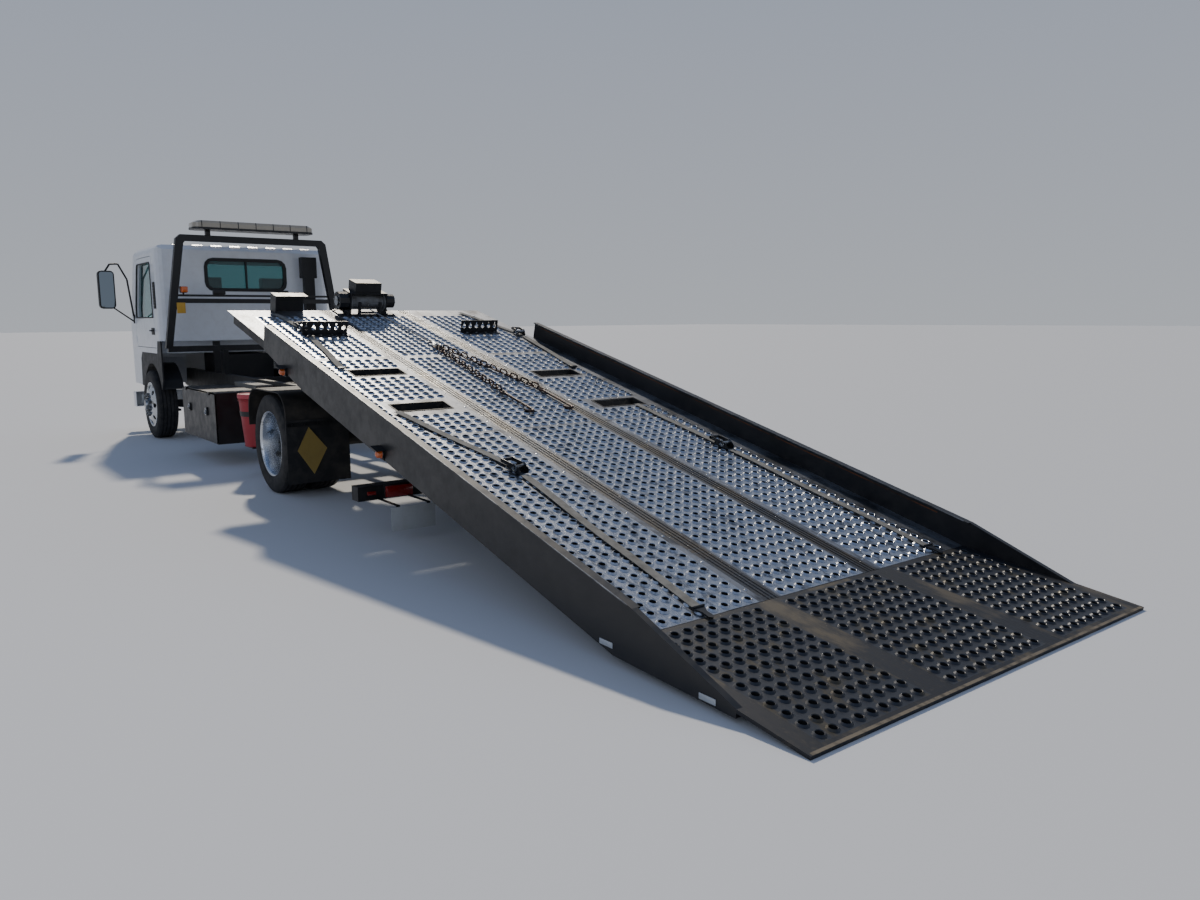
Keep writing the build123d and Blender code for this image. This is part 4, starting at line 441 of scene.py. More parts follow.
# The ramp: one dark steel plate at the tail, punched in three fields with plain bands between them.
# It is scuffed where tyres climb it, with brown dust over it and along its tail edge.
RAMP_FIELDS = ((0.53, 1.09, 9), (-0.315, 0.315, 10), (-1.094, -0.53, 9))
RAMP_ROWS, RAMP_FIRST_ROW, RAMP_LAST_ROW = 12, 0.073, 0.875
RAMP_PLATE = 0.008
RAIL_END_ON_RAMP = 0.330
BED_HALF_WIDTH = 1.220
RIB_YS = (-1.150, -0.805, -0.41975, 0, 0.41975, 0.805, 1.150)
RIB_HALF = 0.006
RIB_FOOT, RIB_DEPTH, RIB_TIP = 0.08, 0.062, 0.002
HEADER_U, HEADER_DEPTH = (RAMP_LENGTH - 0.040, RAMP_LENGTH - 0.028), 0.060

# Near black and dull, collars a shade brighter as a painted highlight, and matt brown dust on the edge.
ramp_steel = worn_metal("scuffed_ramp_steel", "#15181e", "#504839", 0.25, 0.5, 260, grime_share=0.4)
ramp_collar_painted_highlight = worn_metal("rubbed_ramp_collar_painted_highlight", "#34373d", "#484338", 0.55, 0.4, 80, grime_share=0.3)
tail_dust = worn_metal("dust_on_the_tail_edge", "#6a6152", "#3f3a31", 0.1, 0.75, 60)

bm = bmesh.new()
row_pitch = (RAMP_LAST_ROW - RAMP_FIRST_ROW) / (RAMP_ROWS - 1)
lowest, highest = RAMP_FIRST_ROW - row_pitch / 2, RAMP_LAST_ROW + row_pitch / 2
edges = []
for low, high, columns in RAMP_FIELDS:
    pitch = (high - low) / (columns - 1)
    cell = punched_cell(row_pitch, pitch, RAMP_PLATE)
    for r in range(RAMP_ROWS):
        for c in range(columns):
            add_cell(bm, cell, Matrix.Translation((RAMP_FIRST_ROW + r * row_pitch, low + c * pitch, 0)))
    edges.append((low - pitch / 2, high + pitch / 2))
edges.sort()
plain = [(a[1], b[0]) for a, b in zip(edges, edges[1:])]
plain += [(-DECK_HALF_WIDTH, edges[0][0]), (edges[-1][1], DECK_HALF_WIDTH)]
for band in plain:
    add_block(bm, (lowest, highest), band, (-RAMP_PLATE, 0))
add_block(bm, (highest, RAMP_LENGTH - PANEL_SPACE), (-DECK_HALF_WIDTH, DECK_HALF_WIDTH), (-RAMP_PLATE, 0))
add_block(bm, (0, lowest), (-BED_HALF_WIDTH, BED_HALF_WIDTH), (-RAMP_SKIN, 0))
for side in (1, -1):
    edge_y = (side * DECK_HALF_WIDTH, side * BED_HALF_WIDTH)
    add_block(bm, (lowest, RAIL_END_ON_RAMP), edge_y, (-RAMP_SKIN, 0))
for y in RIB_YS:
    rib = add_block(bm, (RIB_FOOT, RAMP_LENGTH - 0.010), about(y, RIB_HALF), (-RIB_DEPTH, -RAMP_PLATE))
    for v in rib:
        if v.co.x < 0.1 and v.co.z < -0.03:
            v.co.z = -RAMP_PLATE - RIB_TIP
add_block(bm, HEADER_U, (-DECK_HALF_WIDTH, DECK_HALF_WIDTH), (-HEADER_DEPTH, -RAMP_PLATE))
before = set(bm.faces)
add_block(bm, (0.0005, 0.016), (-BED_HALF_WIDTH + 0.01, BED_HALF_WIDTH - 0.01), (-0.001, 0.0004))
tint(bm, before, 3)
# The ramp's hole walls take the deck's near-black painted shade.
ramp_looks = (ramp_steel, ramp_collar_painted_highlight, hole_wall_painted_shade, tail_dust)
finish_piece(bm, "ramp_punched", ramp_looks, "bed", ramp_place, ("ramp",))

# The side rails' wear: paint rubbed to bare metal along the folded tops, and rust inside the right rail.
# Two pale reflectors sit outside the left rail near the tail.
RAIL_START, RAIL_RISE = DECK_LENGTH - 1.030, 0.140
FOLD_WIDTH = 0.045
WEAR_RISE, WEAR_DEPTH = 0.0004, 0.003
REFLECTOR_AT = ((0.47, 0.036), (1.06, 0.075))
REFLECTOR_HALF, REFLECTOR_HIGH = 0.043, 0.024


def painted(name, base, dust, gloss, dust_mm=90, dust_share=0.35, coat=0.0):
    """Sprayed paint or moulded plastic with a thin film of dust and a faint orange peel."""
    material, tree, shader = new_material(name, Coat_Weight=coat, Coat_Roughness=0.08)
    film = object_noise(tree, dust_mm, detail=8, roughness=0.7)
    colour = mixed(tree, spread(tree, film, 0.45, 0.8, 0, dust_share), base, dust)
    rough = spread(tree, film, 0.4, 0.8, gloss, min(gloss + 0.25, 0.95))
    peel = add_relief(tree, object_noise(tree, 8, detail=2), 0.04, 0.001)
    feed(tree, shader, Base_Color=colour, Roughness=rough, Normal=peel)
    return material


# A bright broken line along the folds, and a matt brown one inside the right rail.
bare_edge = worn_metal("paint_rubbed_to_metal", "#8e9196", "#3a3b3d", 0.8, 0.35, 90, grime_share=0.8)
rust_line = worn_metal("thin_rust", "#6b3f22", "#2b221c", 0.1, 0.8, 120, grime_share=0.7)
bm = bmesh.new()
for low, high in ((BED_HALF_WIDTH - 0.004, BED_HALF_WIDTH + WEAR_RISE),
                  (BED_HALF_WIDTH - FOLD_WIDTH - WEAR_RISE, BED_HALF_WIDTH - FOLD_WIDTH + WEAR_DEPTH)):
    for side in (1, -1):
        edge_y = (side * low, side * high)
        add_block(bm, (0.03, RAIL_START - 0.02), edge_y, (RAIL_RISE - WEAR_DEPTH, RAIL_RISE + WEAR_RISE))
before = set(bm.faces)
add_block(bm, (0.2, RAIL_START - 0.1), (-DECK_HALF_WIDTH, 0.0004 - DECK_HALF_WIDTH), (0.112, 0.118))
tint(bm, before, 1)
finish_piece(bm, "rail_wear", (bare_edge, rust_line), "bed", deck_place)

# Plastic greyed as painted shade, under a clear skin, so the reflectors catch the light.
reflector_grey_painted_shade = painted("reflector_greyed_painted_shade", "#9da3a8", "#6f6c66", 0.3, coat=0.8)
bm = bmesh.new()
for station, height in REFLECTOR_AT:
    x = TAIL_X + station
    y = (BED_HALF_WIDTH, BED_HALF_WIDTH + 0.004)
    add_block(bm, about(x, REFLECTOR_HALF), y, (height, height + REFLECTOR_HIGH), 0.0015)
finish_piece(bm, "rail_reflectors", (reflector_grey_painted_shade,), "bed")

# The tie-down straps: woven webbing that lies on the hole collars, sewn round flat hooks at the tail.
# Each leg runs through a ratchet of two toothed wheels on a split spool, in a pressed frame with a handle.
STRAP_HALF, STRAP_THICK = 0.025, 0.003
STRAP_LIFT = COLLAR_RISE + 0.0006
STRAP_STEP = 0.09
STRAP_RUNS = (
    ((DECK_LENGTH - 0.160, DECK_HALF_WIDTH - 0.340), (4.846, DECK_HALF_WIDTH - 0.398)),
    ((4.550, DECK_HALF_WIDTH - 0.375), (3.700, DECK_HALF_WIDTH - 0.285)),
    ((2.740, DECK_HALF_WIDTH - 0.260), (1.734, DECK_HALF_WIDTH - 0.490)),
    ((1.588, DECK_HALF_WIDTH - 0.488), (0.040, DECK_HALF_WIDTH - 0.415)),
    ((DECK_LENGTH - 0.130, 0.265 - DECK_HALF_WIDTH), (4.604, 0.095 - DECK_HALF_WIDTH)),
    ((4.446, 0.090 - DECK_HALF_WIDTH), (3.500, 0.205 - DECK_HALF_WIDTH)),
    ((2.540, 0.310 - DECK_HALF_WIDTH), (1.710, 0.280 - DECK_HALF_WIDTH)),
    ((1.574, 0.278 - DECK_HALF_WIDTH), (0.040, 0.250 - DECK_HALF_WIDTH)),
)
RATCHETS = (
    (4.768, DECK_HALF_WIDTH - 0.394, 5),
    (1.660, DECK_HALF_WIDTH - 0.490, 8),
    (4.525, 0.092 - DECK_HALF_WIDTH, -10),
    (1.640, 0.279 - DECK_HALF_WIDTH, 0),
)
RATCHET_TEETH, TOOTH_TIP, TOOTH_ROOT = 14, 0.025, 0.020
SPOOL_X, SPOOL_Z = -0.010, 0.036
CHEEK = ((-0.058, 0.010), (0.058, 0.010), (0.058, 0.024), (0.024, 0.044), (-0.034, 0.048), (-0.050, 0.040),
         (-0.058, 0.026))
FLAT_HOOK = ((-0.062, 0.016), (-0.074, 0.0), (-0.062, -0.016), (-0.020, -0.014), (0.012, -0.030),
             (0.030, -0.030), (0.030, 0.030), (0.012, 0.030), (-0.020, 0.014))


def woven(name, base, thread, rib_mm):
    """Webbing or rope with ribs across it, dulled by dust."""
    material, tree, shader = new_material(name, Roughness=0.85)
    at = add_node(tree, "ShaderNodeTexCoord")
    feeds = {"Vector": at.outputs["Object"], "Scale": 1000 / rib_mm * pi / 10, "Distortion": 0.4}
    ribs = add_node(tree, "ShaderNodeTexWave", feeds, bands_direction="DIAGONAL").outputs["Fac"]
    worn = mixed(tree, spread(tree, object_noise(tree, 60, detail=6), 0.4, 0.75), base, thread)
    colour = mixed(tree, spread(tree, ribs, 0.0, 1.0, 0.0, 0.45), worn, "#2c2a27")
    feed(tree, shader, Base_Color=colour, Normal=add_relief(tree, ribs, 0.5, 0.0006))
    return material


def add_ribbon(bm, start, end):
    """Adds a strap that wanders a little sideways and rises and falls over the collars."""
    run = Vector((end[0] - start[0], end[1] - start[1], 0))
    steps = max(4, int(run.length / STRAP_STEP))
    aside = Vector((-run.y, run.x, 0)).normalized()
    rings = []
    for k in range(steps + 1):
        share = k / steps
        wander = 0.006 * sin(2 * pi * share + start[0]) * sin(pi * share)
        lift = STRAP_LIFT + 0.0012 * (1 + sin(7 * k))
        middle = Vector((*start, lift)) + run * share + aside * wander
        corners = ((-1, 0), (1, 0), (1, 1), (-1, 1))
        ring = [middle + aside * STRAP_HALF * s + Vector((0, 0, STRAP_THICK * t)) for s, t in corners]
        rings.append([bm.verts.new(p) for p in ring])
    join_rings(bm, rings)
    bm.faces.new(rings[0])
    bm.faces.new(rings[-1])


def join_rings(bm, rings):
    """Joins rings of points one after another with faces."""
    for a, b in zip(rings, rings[1:]):
        for s in range(len(a)):
            after = (s + 1) % len(a)
            bm.faces.new((a[s], b[s], b[after], a[after]))


def add_prism(bm, outline, low, high, place=Matrix(), top=1.0):
    """Adds a prism on an outline in X and Y, from one Z to another; top shrinks its upper face."""
    rings = [[bm.verts.new(place @ Vector((x * share, y * share, z))) for x, y in outline]
             for share, z in ((1, low), (top, high))]
    join_rings(bm, rings)
    bm.faces.new(rings[0])
    bm.faces.new(rings[1])


def arc(middle, radius, start, end, steps=8):
    """Points on an arc from one angle to another, in degrees."""
    turns = [radians(start + (end - start) * k / steps) for k in range(steps + 1)]
    return [(middle[0] + radius * cos(t), middle[1] + radius * sin(t)) for t in turns]


def around(count, radius, turn=0.0):
    """Places evenly round a circle."""
    turns = [2 * pi * k / count + turn for k in range(count)]
    return [(radius * cos(t), radius * sin(t)) for t in turns]


# Prisms on an outline in X and Z run along -Y, and those on an outline in Y and Z run along X.
SIDE_ON = Matrix.Rotation(pi / 2, 4, "X")
FACE_ON = Matrix(((0, 0, 1, 0), (1, 0, 0, 0), (0, 1, 0, 0), (0, 0, 0, 1)))

# Grey webbing with fine ribs, dull as cloth, bright zinc, and satin black paint that dust turns grey.
webbing = woven("woven_polyester", "#86857f", "#5a5954", 4)
zinc = worn_metal("zinc_plated_steel", "#9ea3a8", "#5d5a55", 1.0, 0.3, 40)
black_paint = painted("black_chassis_paint", "#0c0d10", "#3b3935", 0.36, dust_share=0.3)
bm = bmesh.new()
for run_start, run_end in STRAP_RUNS:
    add_ribbon(bm, run_start, run_end)
finish_piece(bm, "strap_webbing_woven", (webbing,), "bed", deck_place, ("strap_webbing",))


def ratchet():
    """One ratchet, its strap along X: frame and handle are black, the spool and toothed wheels are zinc."""
    bm = bmesh.new()
    for y in (-0.031, 0.034):
        add_prism(bm, CHEEK, -y, -y + 0.003, SIDE_ON)
    add_block(bm, (-0.058, 0.058), (-0.034, 0.034), (0.0095, 0.0125), 0.001)
    for y in (-0.040, 0.036):
        add_block(bm, (SPOOL_X - 0.012, 0.105), (y, y + 0.004), (0.030, 0.052), 0.0012)
    add_round(bm, (0.098, -0.040, 0.041), (0.098, 0.040, 0.041), 0.010)
    add_round(bm, (0.050, -0.034, 0.020), (0.050, 0.034, 0.020), 0.005)
    before = set(bm.faces)
    roots = around(RATCHET_TEETH, TOOTH_ROOT)
    tips = around(RATCHET_TEETH, TOOTH_TIP, 0.30)
    teeth = [(SPOOL_X + x, SPOOL_Z + z) for pair in zip(roots, tips) for x, z in pair]
    for y in (-0.0355, 0.0385):
        add_prism(bm, teeth, -y, -y + 0.003, SIDE_ON)
    for z in about(SPOOL_Z, 0.006):
        add_round(bm, (SPOOL_X, -0.034, z), (SPOOL_X, 0.034, z), 0.0065, 10)
    add_round(bm, (SPOOL_X, -0.044, SPOOL_Z), (SPOOL_X, 0.044, SPOOL_Z), 0.008, 12)
    tint(bm, before, 1)
    return as_mesh(bm, "ratchet")


ratchet_mesh = ratchet()
bm = bmesh.new()
for u, y, heading in RATCHETS:
    add_cell(bm, ratchet_mesh, Matrix.Translation((u, y, 0)) @ Matrix.Rotation(radians(heading), 4, "Z"))
for _, (u, y) in STRAP_RUNS:
    if u < 0.1:
        add_prism(bm, FLAT_HOOK, STRAP_LIFT + 0.001, STRAP_LIFT + 0.008, Matrix.Translation((u, y, 0)))
        bar_w = STRAP_LIFT + 0.009
        add_round(bm, (u + 0.022, y - 0.034, bar_w), (u + 0.022, y + 0.034, bar_w), 0.006)
for u, y in (STRAP_RUNS[1][0], STRAP_RUNS[1][1], STRAP_RUNS[5][1]):
    add_block(bm, about(u, 0.016), about(y, 0.030), (STRAP_LIFT, STRAP_LIFT + 0.010), 0.003)
hardware = (black_paint, zinc)
finish_piece(bm, "strap_ratchets_hooks", hardware, "bed", deck_place, ("strap_ratchets",))

# The tow chain: two legs of forged oval links from the winch hook to long J hooks, rusty from use.
# Every other link stands on edge, and the links lie a little crooked.
LINK_PITCH, LINK_LONG, LINK_WIDE, LINK_BAR = 0.057, 0.084, 0.046, 0.012
CHAIN_LEGS = (((4.140, -0.060), (2.980, 0.010)), ((4.140, -0.110), (2.980, -0.318)))
HOOK_U, HOOK_Y = 4.180, -0.090
BILL_R, BILL_BAR = 0.031, 0.011
SHANK_US, SHANK_R = (HOOK_U + 0.028, HOOK_U + 0.085), 0.012
THIMBLE_U, THIMBLE_R, THIMBLE_BAR = HOOK_U + 0.104, 0.022, 0.006
CHAIN_LIFT = 0.008
HOOK_BAR = 0.009
J_HOOK = ((-0.035, 0), (-0.12, 0), (-0.26, 0), (-0.400, 0), (-0.424, 0.006), (-0.434, 0.026), (-0.428, 0.046),
          (-0.408, 0.056), (-0.385, 0.054))


def add_tube(bm, path, radius, sides=8, closed=False):
    """Adds a round bar that follows a path of points."""
    path = [Vector(p) for p in path]
    rings = []
    aside = None
    for k, point in enumerate(path):
        before = path[k - 1] if closed or k else point
        after = path[(k + 1) % len(path)] if closed or k < len(path) - 1 else point
        run = (after - before).normalized()
        aside = run.orthogonal() if aside is None else aside
        aside = (aside - run * aside.dot(run)).normalized()
        up = run.cross(aside)
        rings.append([bm.verts.new(point + a * aside + b * up) for a, b in around(sides, radius)])
    join_rings(bm, rings + rings[:1] if closed else rings)
    if not closed:
        bm.faces.new(rings[0])
        bm.faces.new(rings[-1])


# The chain is dark brown and rough, and the hook is the one bright forging on the deck.
chain_steel = worn_metal("rusty_forged_chain", "#241f1e", "#563a2a", 0.6, 0.45, 20, grime_share=0.6)
hook_steel = worn_metal("bright_forged_hook", "#a9abac", "#5b5248", 0.9, 0.35, 25)
bend = (LINK_WIDE - LINK_BAR) / 2
straight = (LINK_LONG - LINK_BAR) / 2 - bend
bm = bmesh.new()
oval = arc((straight, 0), bend, -90, 90, 6) + arc((-straight, 0), bend, 90, 270, 6)
add_tube(bm, [(x, y, 0) for x, y in oval], LINK_BAR / 2, 8, closed=True)
link_mesh = as_mesh(bm, "chain_link")

lay = random.Random(4)
bm = bmesh.new()
for (u0, y0), (u1, y1) in CHAIN_LEGS:
    count = int(hypot(u1 - u0, y1 - y0) / LINK_PITCH)
    heading = atan2(y1 - y0, u1 - u0)
    for k in range(count + 1):
        flat = k % 2 == 0
        height = CHAIN_LIFT + (LINK_BAR * 0.9 if flat else LINK_WIDE / 2)
        at = (u0 + k / count * (u1 - u0), y0 + k / count * (y1 - y0), height)
        roll = radians((0 if flat else 90) + lay.uniform(-9, 9))
        turn = Matrix.Rotation(heading + radians(lay.uniform(-5, 5)), 4, "Z") @ Matrix.Rotation(roll, 4, "X")
        add_cell(bm, link_mesh, Matrix.Translation(at) @ turn)
    height = CHAIN_LIFT + HOOK_BAR
    add_tube(bm, [(u1 + x, y1 + y, height) for x, y in J_HOOK], HOOK_BAR, 10)
    eye = [(u1 - 0.020 + x, y1 + y, height) for x, y in around(12, 0.020)]
    add_tube(bm, eye, HOOK_BAR * 0.9, 8, closed=True)
finish_piece(
    bm, "tow_chain_links", (chain_steel,), "bed", deck_place, ("tow_chain",), sharp=60)

bm = bmesh.new()
height = CHAIN_LIFT + 0.014
bill = [(HOOK_U + x, HOOK_Y + y, height) for x, y in arc((0, 0), BILL_R, -150, 120, 16)]
add_tube(bm, bill, BILL_BAR, 12)
add_round(bm, (SHANK_US[0], HOOK_Y, height), (SHANK_US[1], HOOK_Y, height), SHANK_R, 12)
thimble = [(THIMBLE_U + x, HOOK_Y + y, height) for x, y in around(12, THIMBLE_R)]
add_tube(bm, thimble, THIMBLE_BAR, 8, closed=True)
latch_y = (HOOK_Y + 0.018, HOOK_Y + 0.026)
add_block(bm, (HOOK_U - 0.032, HOOK_U + 0.020), latch_y, about(height, 0.008), 0.002)
winch_hook = finish_piece(bm, "winch_hook_forged", (hook_steel,), "bed", deck_place, sharp=60)

# The winch: its drum carries one layer of wire rope, and the gearbox and motor ends are bolted on.
# The rope runs from the drum through the roller guide and down to the hook.
WINCH_U, WINCH_Y, DRUM_W = DECK_LENGTH - 0.125, 0.040, 0.110
DRUM_R, DRUM_HALF, FLANGE_R, FLANGE_THICK = 0.060, 0.158, 0.088, 0.005
ROPE_R = 0.0055
ROLLER_U = WINCH_U - 0.110
END_REACH, END_W = 0.2595, 0.118
RACK_U, RACK_YS, RACK_WIDTH, RACK_BOLTS = DECK_LENGTH - 0.820, (0.670, -0.745), 0.370, 4


def spun(profile, steps, closed=True):
    """A profile of (along, radius) points spun about the Y axis."""
    bm = bmesh.new()
    loop = list(profile) + (list(profile[:1]) if closed else [])
    points = [bm.verts.new((0, s, r)) for s, r in loop]
    lines = [bm.edges.new((a, b)) for a, b in zip(points, points[1:])]
    bmesh.ops.spin(
        bm, geom=points + lines, cent=(0, 0, 0), axis=(0, 1, 0), angle=2 * pi, steps=steps, use_merge=True)
    bmesh.ops.remove_doubles(bm, verts=bm.verts, dist=1e-5)
    bmesh.ops.recalc_face_normals(bm, faces=bm.faces)
    return bm


# Grey strands, with diagonal ribs that show the lay.
wire_rope = woven("wire_rope", "#8b8d8f", "#5e5b57", 6)
lay_pitch = 2.1 * ROPE_R
rope_turns = int(2 * (DRUM_HALF - 0.010) / lay_pitch)
flange = [(-DRUM_HALF, 0), (-DRUM_HALF, FLANGE_R), (FLANGE_THICK - DRUM_HALF, FLANGE_R),
          (FLANGE_THICK - DRUM_HALF, DRUM_R - 0.003)]
profile = list(flange)
for k in range(rope_turns):
    middle = (k - (rope_turns - 1) / 2) * lay_pitch
    profile += [(middle + ROPE_R * cos(t), DRUM_R + ROPE_R * sin(t)) for t in (pi, 2.3, pi / 2, 0.84, 0)]
profile += [(-s, r) for s, r in reversed(flange)]
drum_place = deck_place @ Matrix.Translation((WINCH_U, WINCH_Y, DRUM_W))
drum = spun(profile, 40, closed=False)
finish_piece(drum, "winch_drum_wound", (wire_rope,), "bed", drum_place, ("winch_drum",))

bm = bmesh.new()
for side, radius in ((1, 0.068), (-1, 0.048)):
    y = WINCH_Y + side * END_REACH
    add_round(bm, (WINCH_U, y - side * 0.001, END_W), (WINCH_U, y + side * 0.010, END_W), radius * 0.6, 24)
    for a, b in around(8, radius):
        u, w = WINCH_U + a, END_W + b
        add_round(bm, (u, y - side * 0.001, w), (u, y + side * 0.006, w), 0.006, 6)
for u in (WINCH_U - 0.070, WINCH_U + 0.080):
    for y in (-0.245, -0.185, 0.185, 0.245):
        add_round(bm, (u, WINCH_Y + y, 0.012), (u, WINCH_Y + y, 0.021), 0.010, 6)
for middle in RACK_YS:
    for k in range(RACK_BOLTS):
        y = middle + (k - (RACK_BOLTS - 1) / 2) * RACK_WIDTH / RACK_BOLTS
        add_round(bm, (RACK_U - 0.036, y, 0.007), (RACK_U - 0.036, y, 0.016), 0.009, 6)
finish_piece(bm, "winch_and_rack_bolts", (zinc,), "bed", deck_place)

ROPE_ROUTE = (
    (WINCH_U - 0.072, WINCH_Y, 0.104),
    (ROLLER_U, WINCH_Y, 0.066),
    (ROLLER_U - 0.065, 0.031, 0.0624),
    (HOOK_U + 0.197, -0.0808, 0.0215),
    (THIMBLE_U, HOOK_Y, 0.0165),
)
rope_points = [deck_place @ Vector(p) for p in ROPE_ROUTE]
rope_line = bpy.data.curves.new("winch_rope_line", "CURVE")
rope_line.dimensions = "3D"
rope_line.bevel_depth = ROPE_R
rope_line.bevel_resolution = 3
rope_spline = rope_line.splines.new("NURBS")
rope_spline.points.add(len(rope_points) - 1)
for point, at in zip(rope_spline.points, rope_points):
    point.co = (*at, 1)
rope_spline.order_u = 3
rope_spline.use_endpoint_u = True
rope_line.materials.append(wire_rope)
rope = bpy.data.objects.new("winch_rope_laid", rope_line)
bpy.context.collection.objects.link(rope)
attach(rope, "bed")
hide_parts("winch_rope")

# Side markers: amber domed lenses in black rings, two on each side of the bed.
MARKER_US, MARKER_W = (2.294, 3.951), -0.078
MARKER_DOME = ((0.0, 0.0), (0.0, 0.028), (0.007, 0.028), (0.009, 0.0255), (0.026, 0.0235), (0.035, 0.018),
               (0.040, 0.009), (0.041, 0.0))
# Amber plastic under a clear skin, which gives it a sharp highlight.
amber = painted("amber_lens", "#c55a12", "#8d5a2c", 0.15, coat=1.0)
marker_bm = spun(MARKER_DOME, 24, closed=False)
before = set(marker_bm.faces)
add_tube(marker_bm, [(x, 0.004, z) for x, z in around(24, 0.0285)], 0.004, 6, closed=True)
tint(marker_bm, before, 1)
marker_mesh = as_mesh(marker_bm, "marker")
bm = bmesh.new()
for u in MARKER_US:
    for side in (1, -1):
        turn = Matrix.Rotation(0 if side > 0 else pi, 4, "Z")
        add_cell(bm, marker_mesh, Matrix.Translation((u, side * (BED_HALF_WIDTH + 0.005), MARKER_W)) @ turn)
finish_piece(bm, "side_markers", (amber, black_paint), "bed", deck_place, ("marker_lamps",))

# Tyres: heavy road tyres with four grooves round the tread, shoulder blocks and a dusty sidewall.
BEAD_RADIUS, TREAD_RADIUS = 0.2602, 0.4024
TYRE_STEPS = 96
GROOVE_DEPTH, GROOVE_HALF = 0.010, 0.005
GROOVES = (-0.060, -0.021, 0.021, 0.060)
SHOULDER_BLOCKS = 48
DUAL_HALF = 0.1315


def dusty_rubber(name, base, dust, size_mm):
    """Moulded rubber: near black, with pale road dust that settles in patches."""
    material, tree, shader = new_material(name, Roughness=0.78)
    share = spread(tree, object_noise(tree, size_mm, detail=6), 0.4, 0.75, 0, 0.7)
    grain = add_relief(tree, object_noise(tree, 3, detail=2), 0.15, 0.0008)
    feed(tree, shader, Base_Color=mixed(tree, share, base, dust), Normal=grain)
    return material


tyre_rubber = dusty_rubber("tyre_rubber", "#101113", "#3d3a37", 60)


def tyre():
    """A tyre from bead to bead, with raised rings on its sidewalls, then back along its bore."""
    side = [(0.093, BEAD_RADIUS), (0.101, 0.268), (0.1055, 0.280), (0.1062, 0.281), (0.1085, 0.290),
            (0.1128, 0.325), (0.1128, 0.348), (0.1105, 0.362), (0.1085, 0.3635), (0.108, 0.375),
            (0.098, 0.391), (0.088, 0.3990)]
    tread = []
    for g in reversed(GROOVES):
        for shift, depth in ((1, 0), (0.6, GROOVE_DEPTH), (-0.6, GROOVE_DEPTH), (-1, 0)):
            tread.append((g + shift * GROOVE_HALF, TREAD_RADIUS - depth))
    bm = spun(side + tread + [(-s, r) for s, r in reversed(side)], TYRE_STEPS)
    for k in range(SHOULDER_BLOCKS):
        turn = Matrix.Rotation(2 * pi * k / SHOULDER_BLOCKS, 4, "Y")
        for side in (1, -1):
            corners = add_block(bm, (-0.016, 0.016), (side * 0.084, side * 0.1045), (0.372, 0.3970))
            for v in corners:
                if abs(v.co.y) > 0.1:
                    v.co.y = side * (0.0945 if v.co.z > 0.39 else 0.1092)
            bmesh.ops.transform(bm, matrix=turn, verts=corners)
    return as_mesh(bm, "tyre")


def middle_of(node):
    """The middle of a CAD piece's box."""
    low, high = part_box(node)
    return [(a + b) / 2 for a, b in zip(low, high)]


tyre_mesh = tyre()
wheels = []
for name, side in (("left", 1), ("right", -1)):
    stood_for = (f"tyre_front_{name}",), (f"rim_front_{name}",)
    x, y, z = middle_of(f"tyre_front_{name}")
    wheels.append((f"front_{name}", side, (x, y, z), 1, f"front_wheel_{name}", *stood_for))
    stood_for = (f"tyres_rear_{name}",), (f"rims_rear_{name}",)
    x, y, z = middle_of(f"tyres_rear_{name}")
    outer, inner = (x, y + side * DUAL_HALF, z), (x, y - side * DUAL_HALF, z)
    wheels.append((f"rear_outer_{name}", side, outer, -1, f"rear_wheels_{name}", *stood_for))
    wheels.append((f"rear_inner_{name}", side, inner, 1, f"rear_wheels_{name}", (), ()))
for name, side, at, facing, body, tyre_nodes, rim_nodes in wheels:
    bm = bmesh.new()
    add_cell(bm, tyre_mesh, Matrix.Translation(at))
    finish_piece(bm, f"tyre_{name}_treaded", (tyre_rubber,), body, replaced=tyre_nodes)

# Wheels: polished aluminium discs with rolled lips, eight hand holes and hexagon nuts. The front discs and
# the inner rear ones bulge towards the outside, and the outer rear ones are dished deep around the hub.
RIM_PROFILE = (
    (0.093, 0.2598), (0.0985, 0.2620), (0.1025, 0.2655), (0.1045, 0.2640), (0.1035, 0.2575),
    (0.0970, 0.2520), (0.0975, 0.2450), (0.1045, 0.2300), (0.1210, 0.1880), (0.1280, 0.1730),
    (0.1310, 0.1580), (0.1310, 0.0700), (0.1190, 0.0700), (0.1190, 0.1600), (0.1130, 0.1800),
    (0.0900, 0.2350), (0.0800, 0.2430), (-0.0850, 0.2470), (-0.0935, 0.2520), (-0.1000, 0.2560),
    (-0.1040, 0.2640), (-0.1025, 0.2655), (-0.0985, 0.2620), (-0.0930, 0.2598),
)
HAND_HOLES, HAND_HOLE_AT, HAND_HOLE_R = 8, 0.205, 0.027
NUTS, NUT_AT, NUT_R = 10, 0.1225, 0.0165
# Each hub: where its disc sits, where its cap ends, where the drum behind it ends, and the drum's radius.
FRONT_HUB, REAR_HUB = (0.131, 0.176, 0.085, 0.170), (-0.119, -0.043, 0.035, 0.175)
HUB_R, CAP_R, CAP_END_R, CAP_LONG = 0.084, 0.056, 0.048, 0.018
HUB_BOLTS, HUB_BOLT_AT = 8, 0.069
NUT_TURN, NUT_HIGH = 0.3, 0.018
# The polished lips mirror the sky, and the drums behind them are rusty and matt.
polished = worn_metal("polished_aluminium", "#c3c7cc", "#84837f", 1.0, 0.2, 90, grime_share=0.2)
drum_iron = worn_metal("rusty_brake_drum", "#2c2522", "#4b3427", 0.5, 0.6, 50)


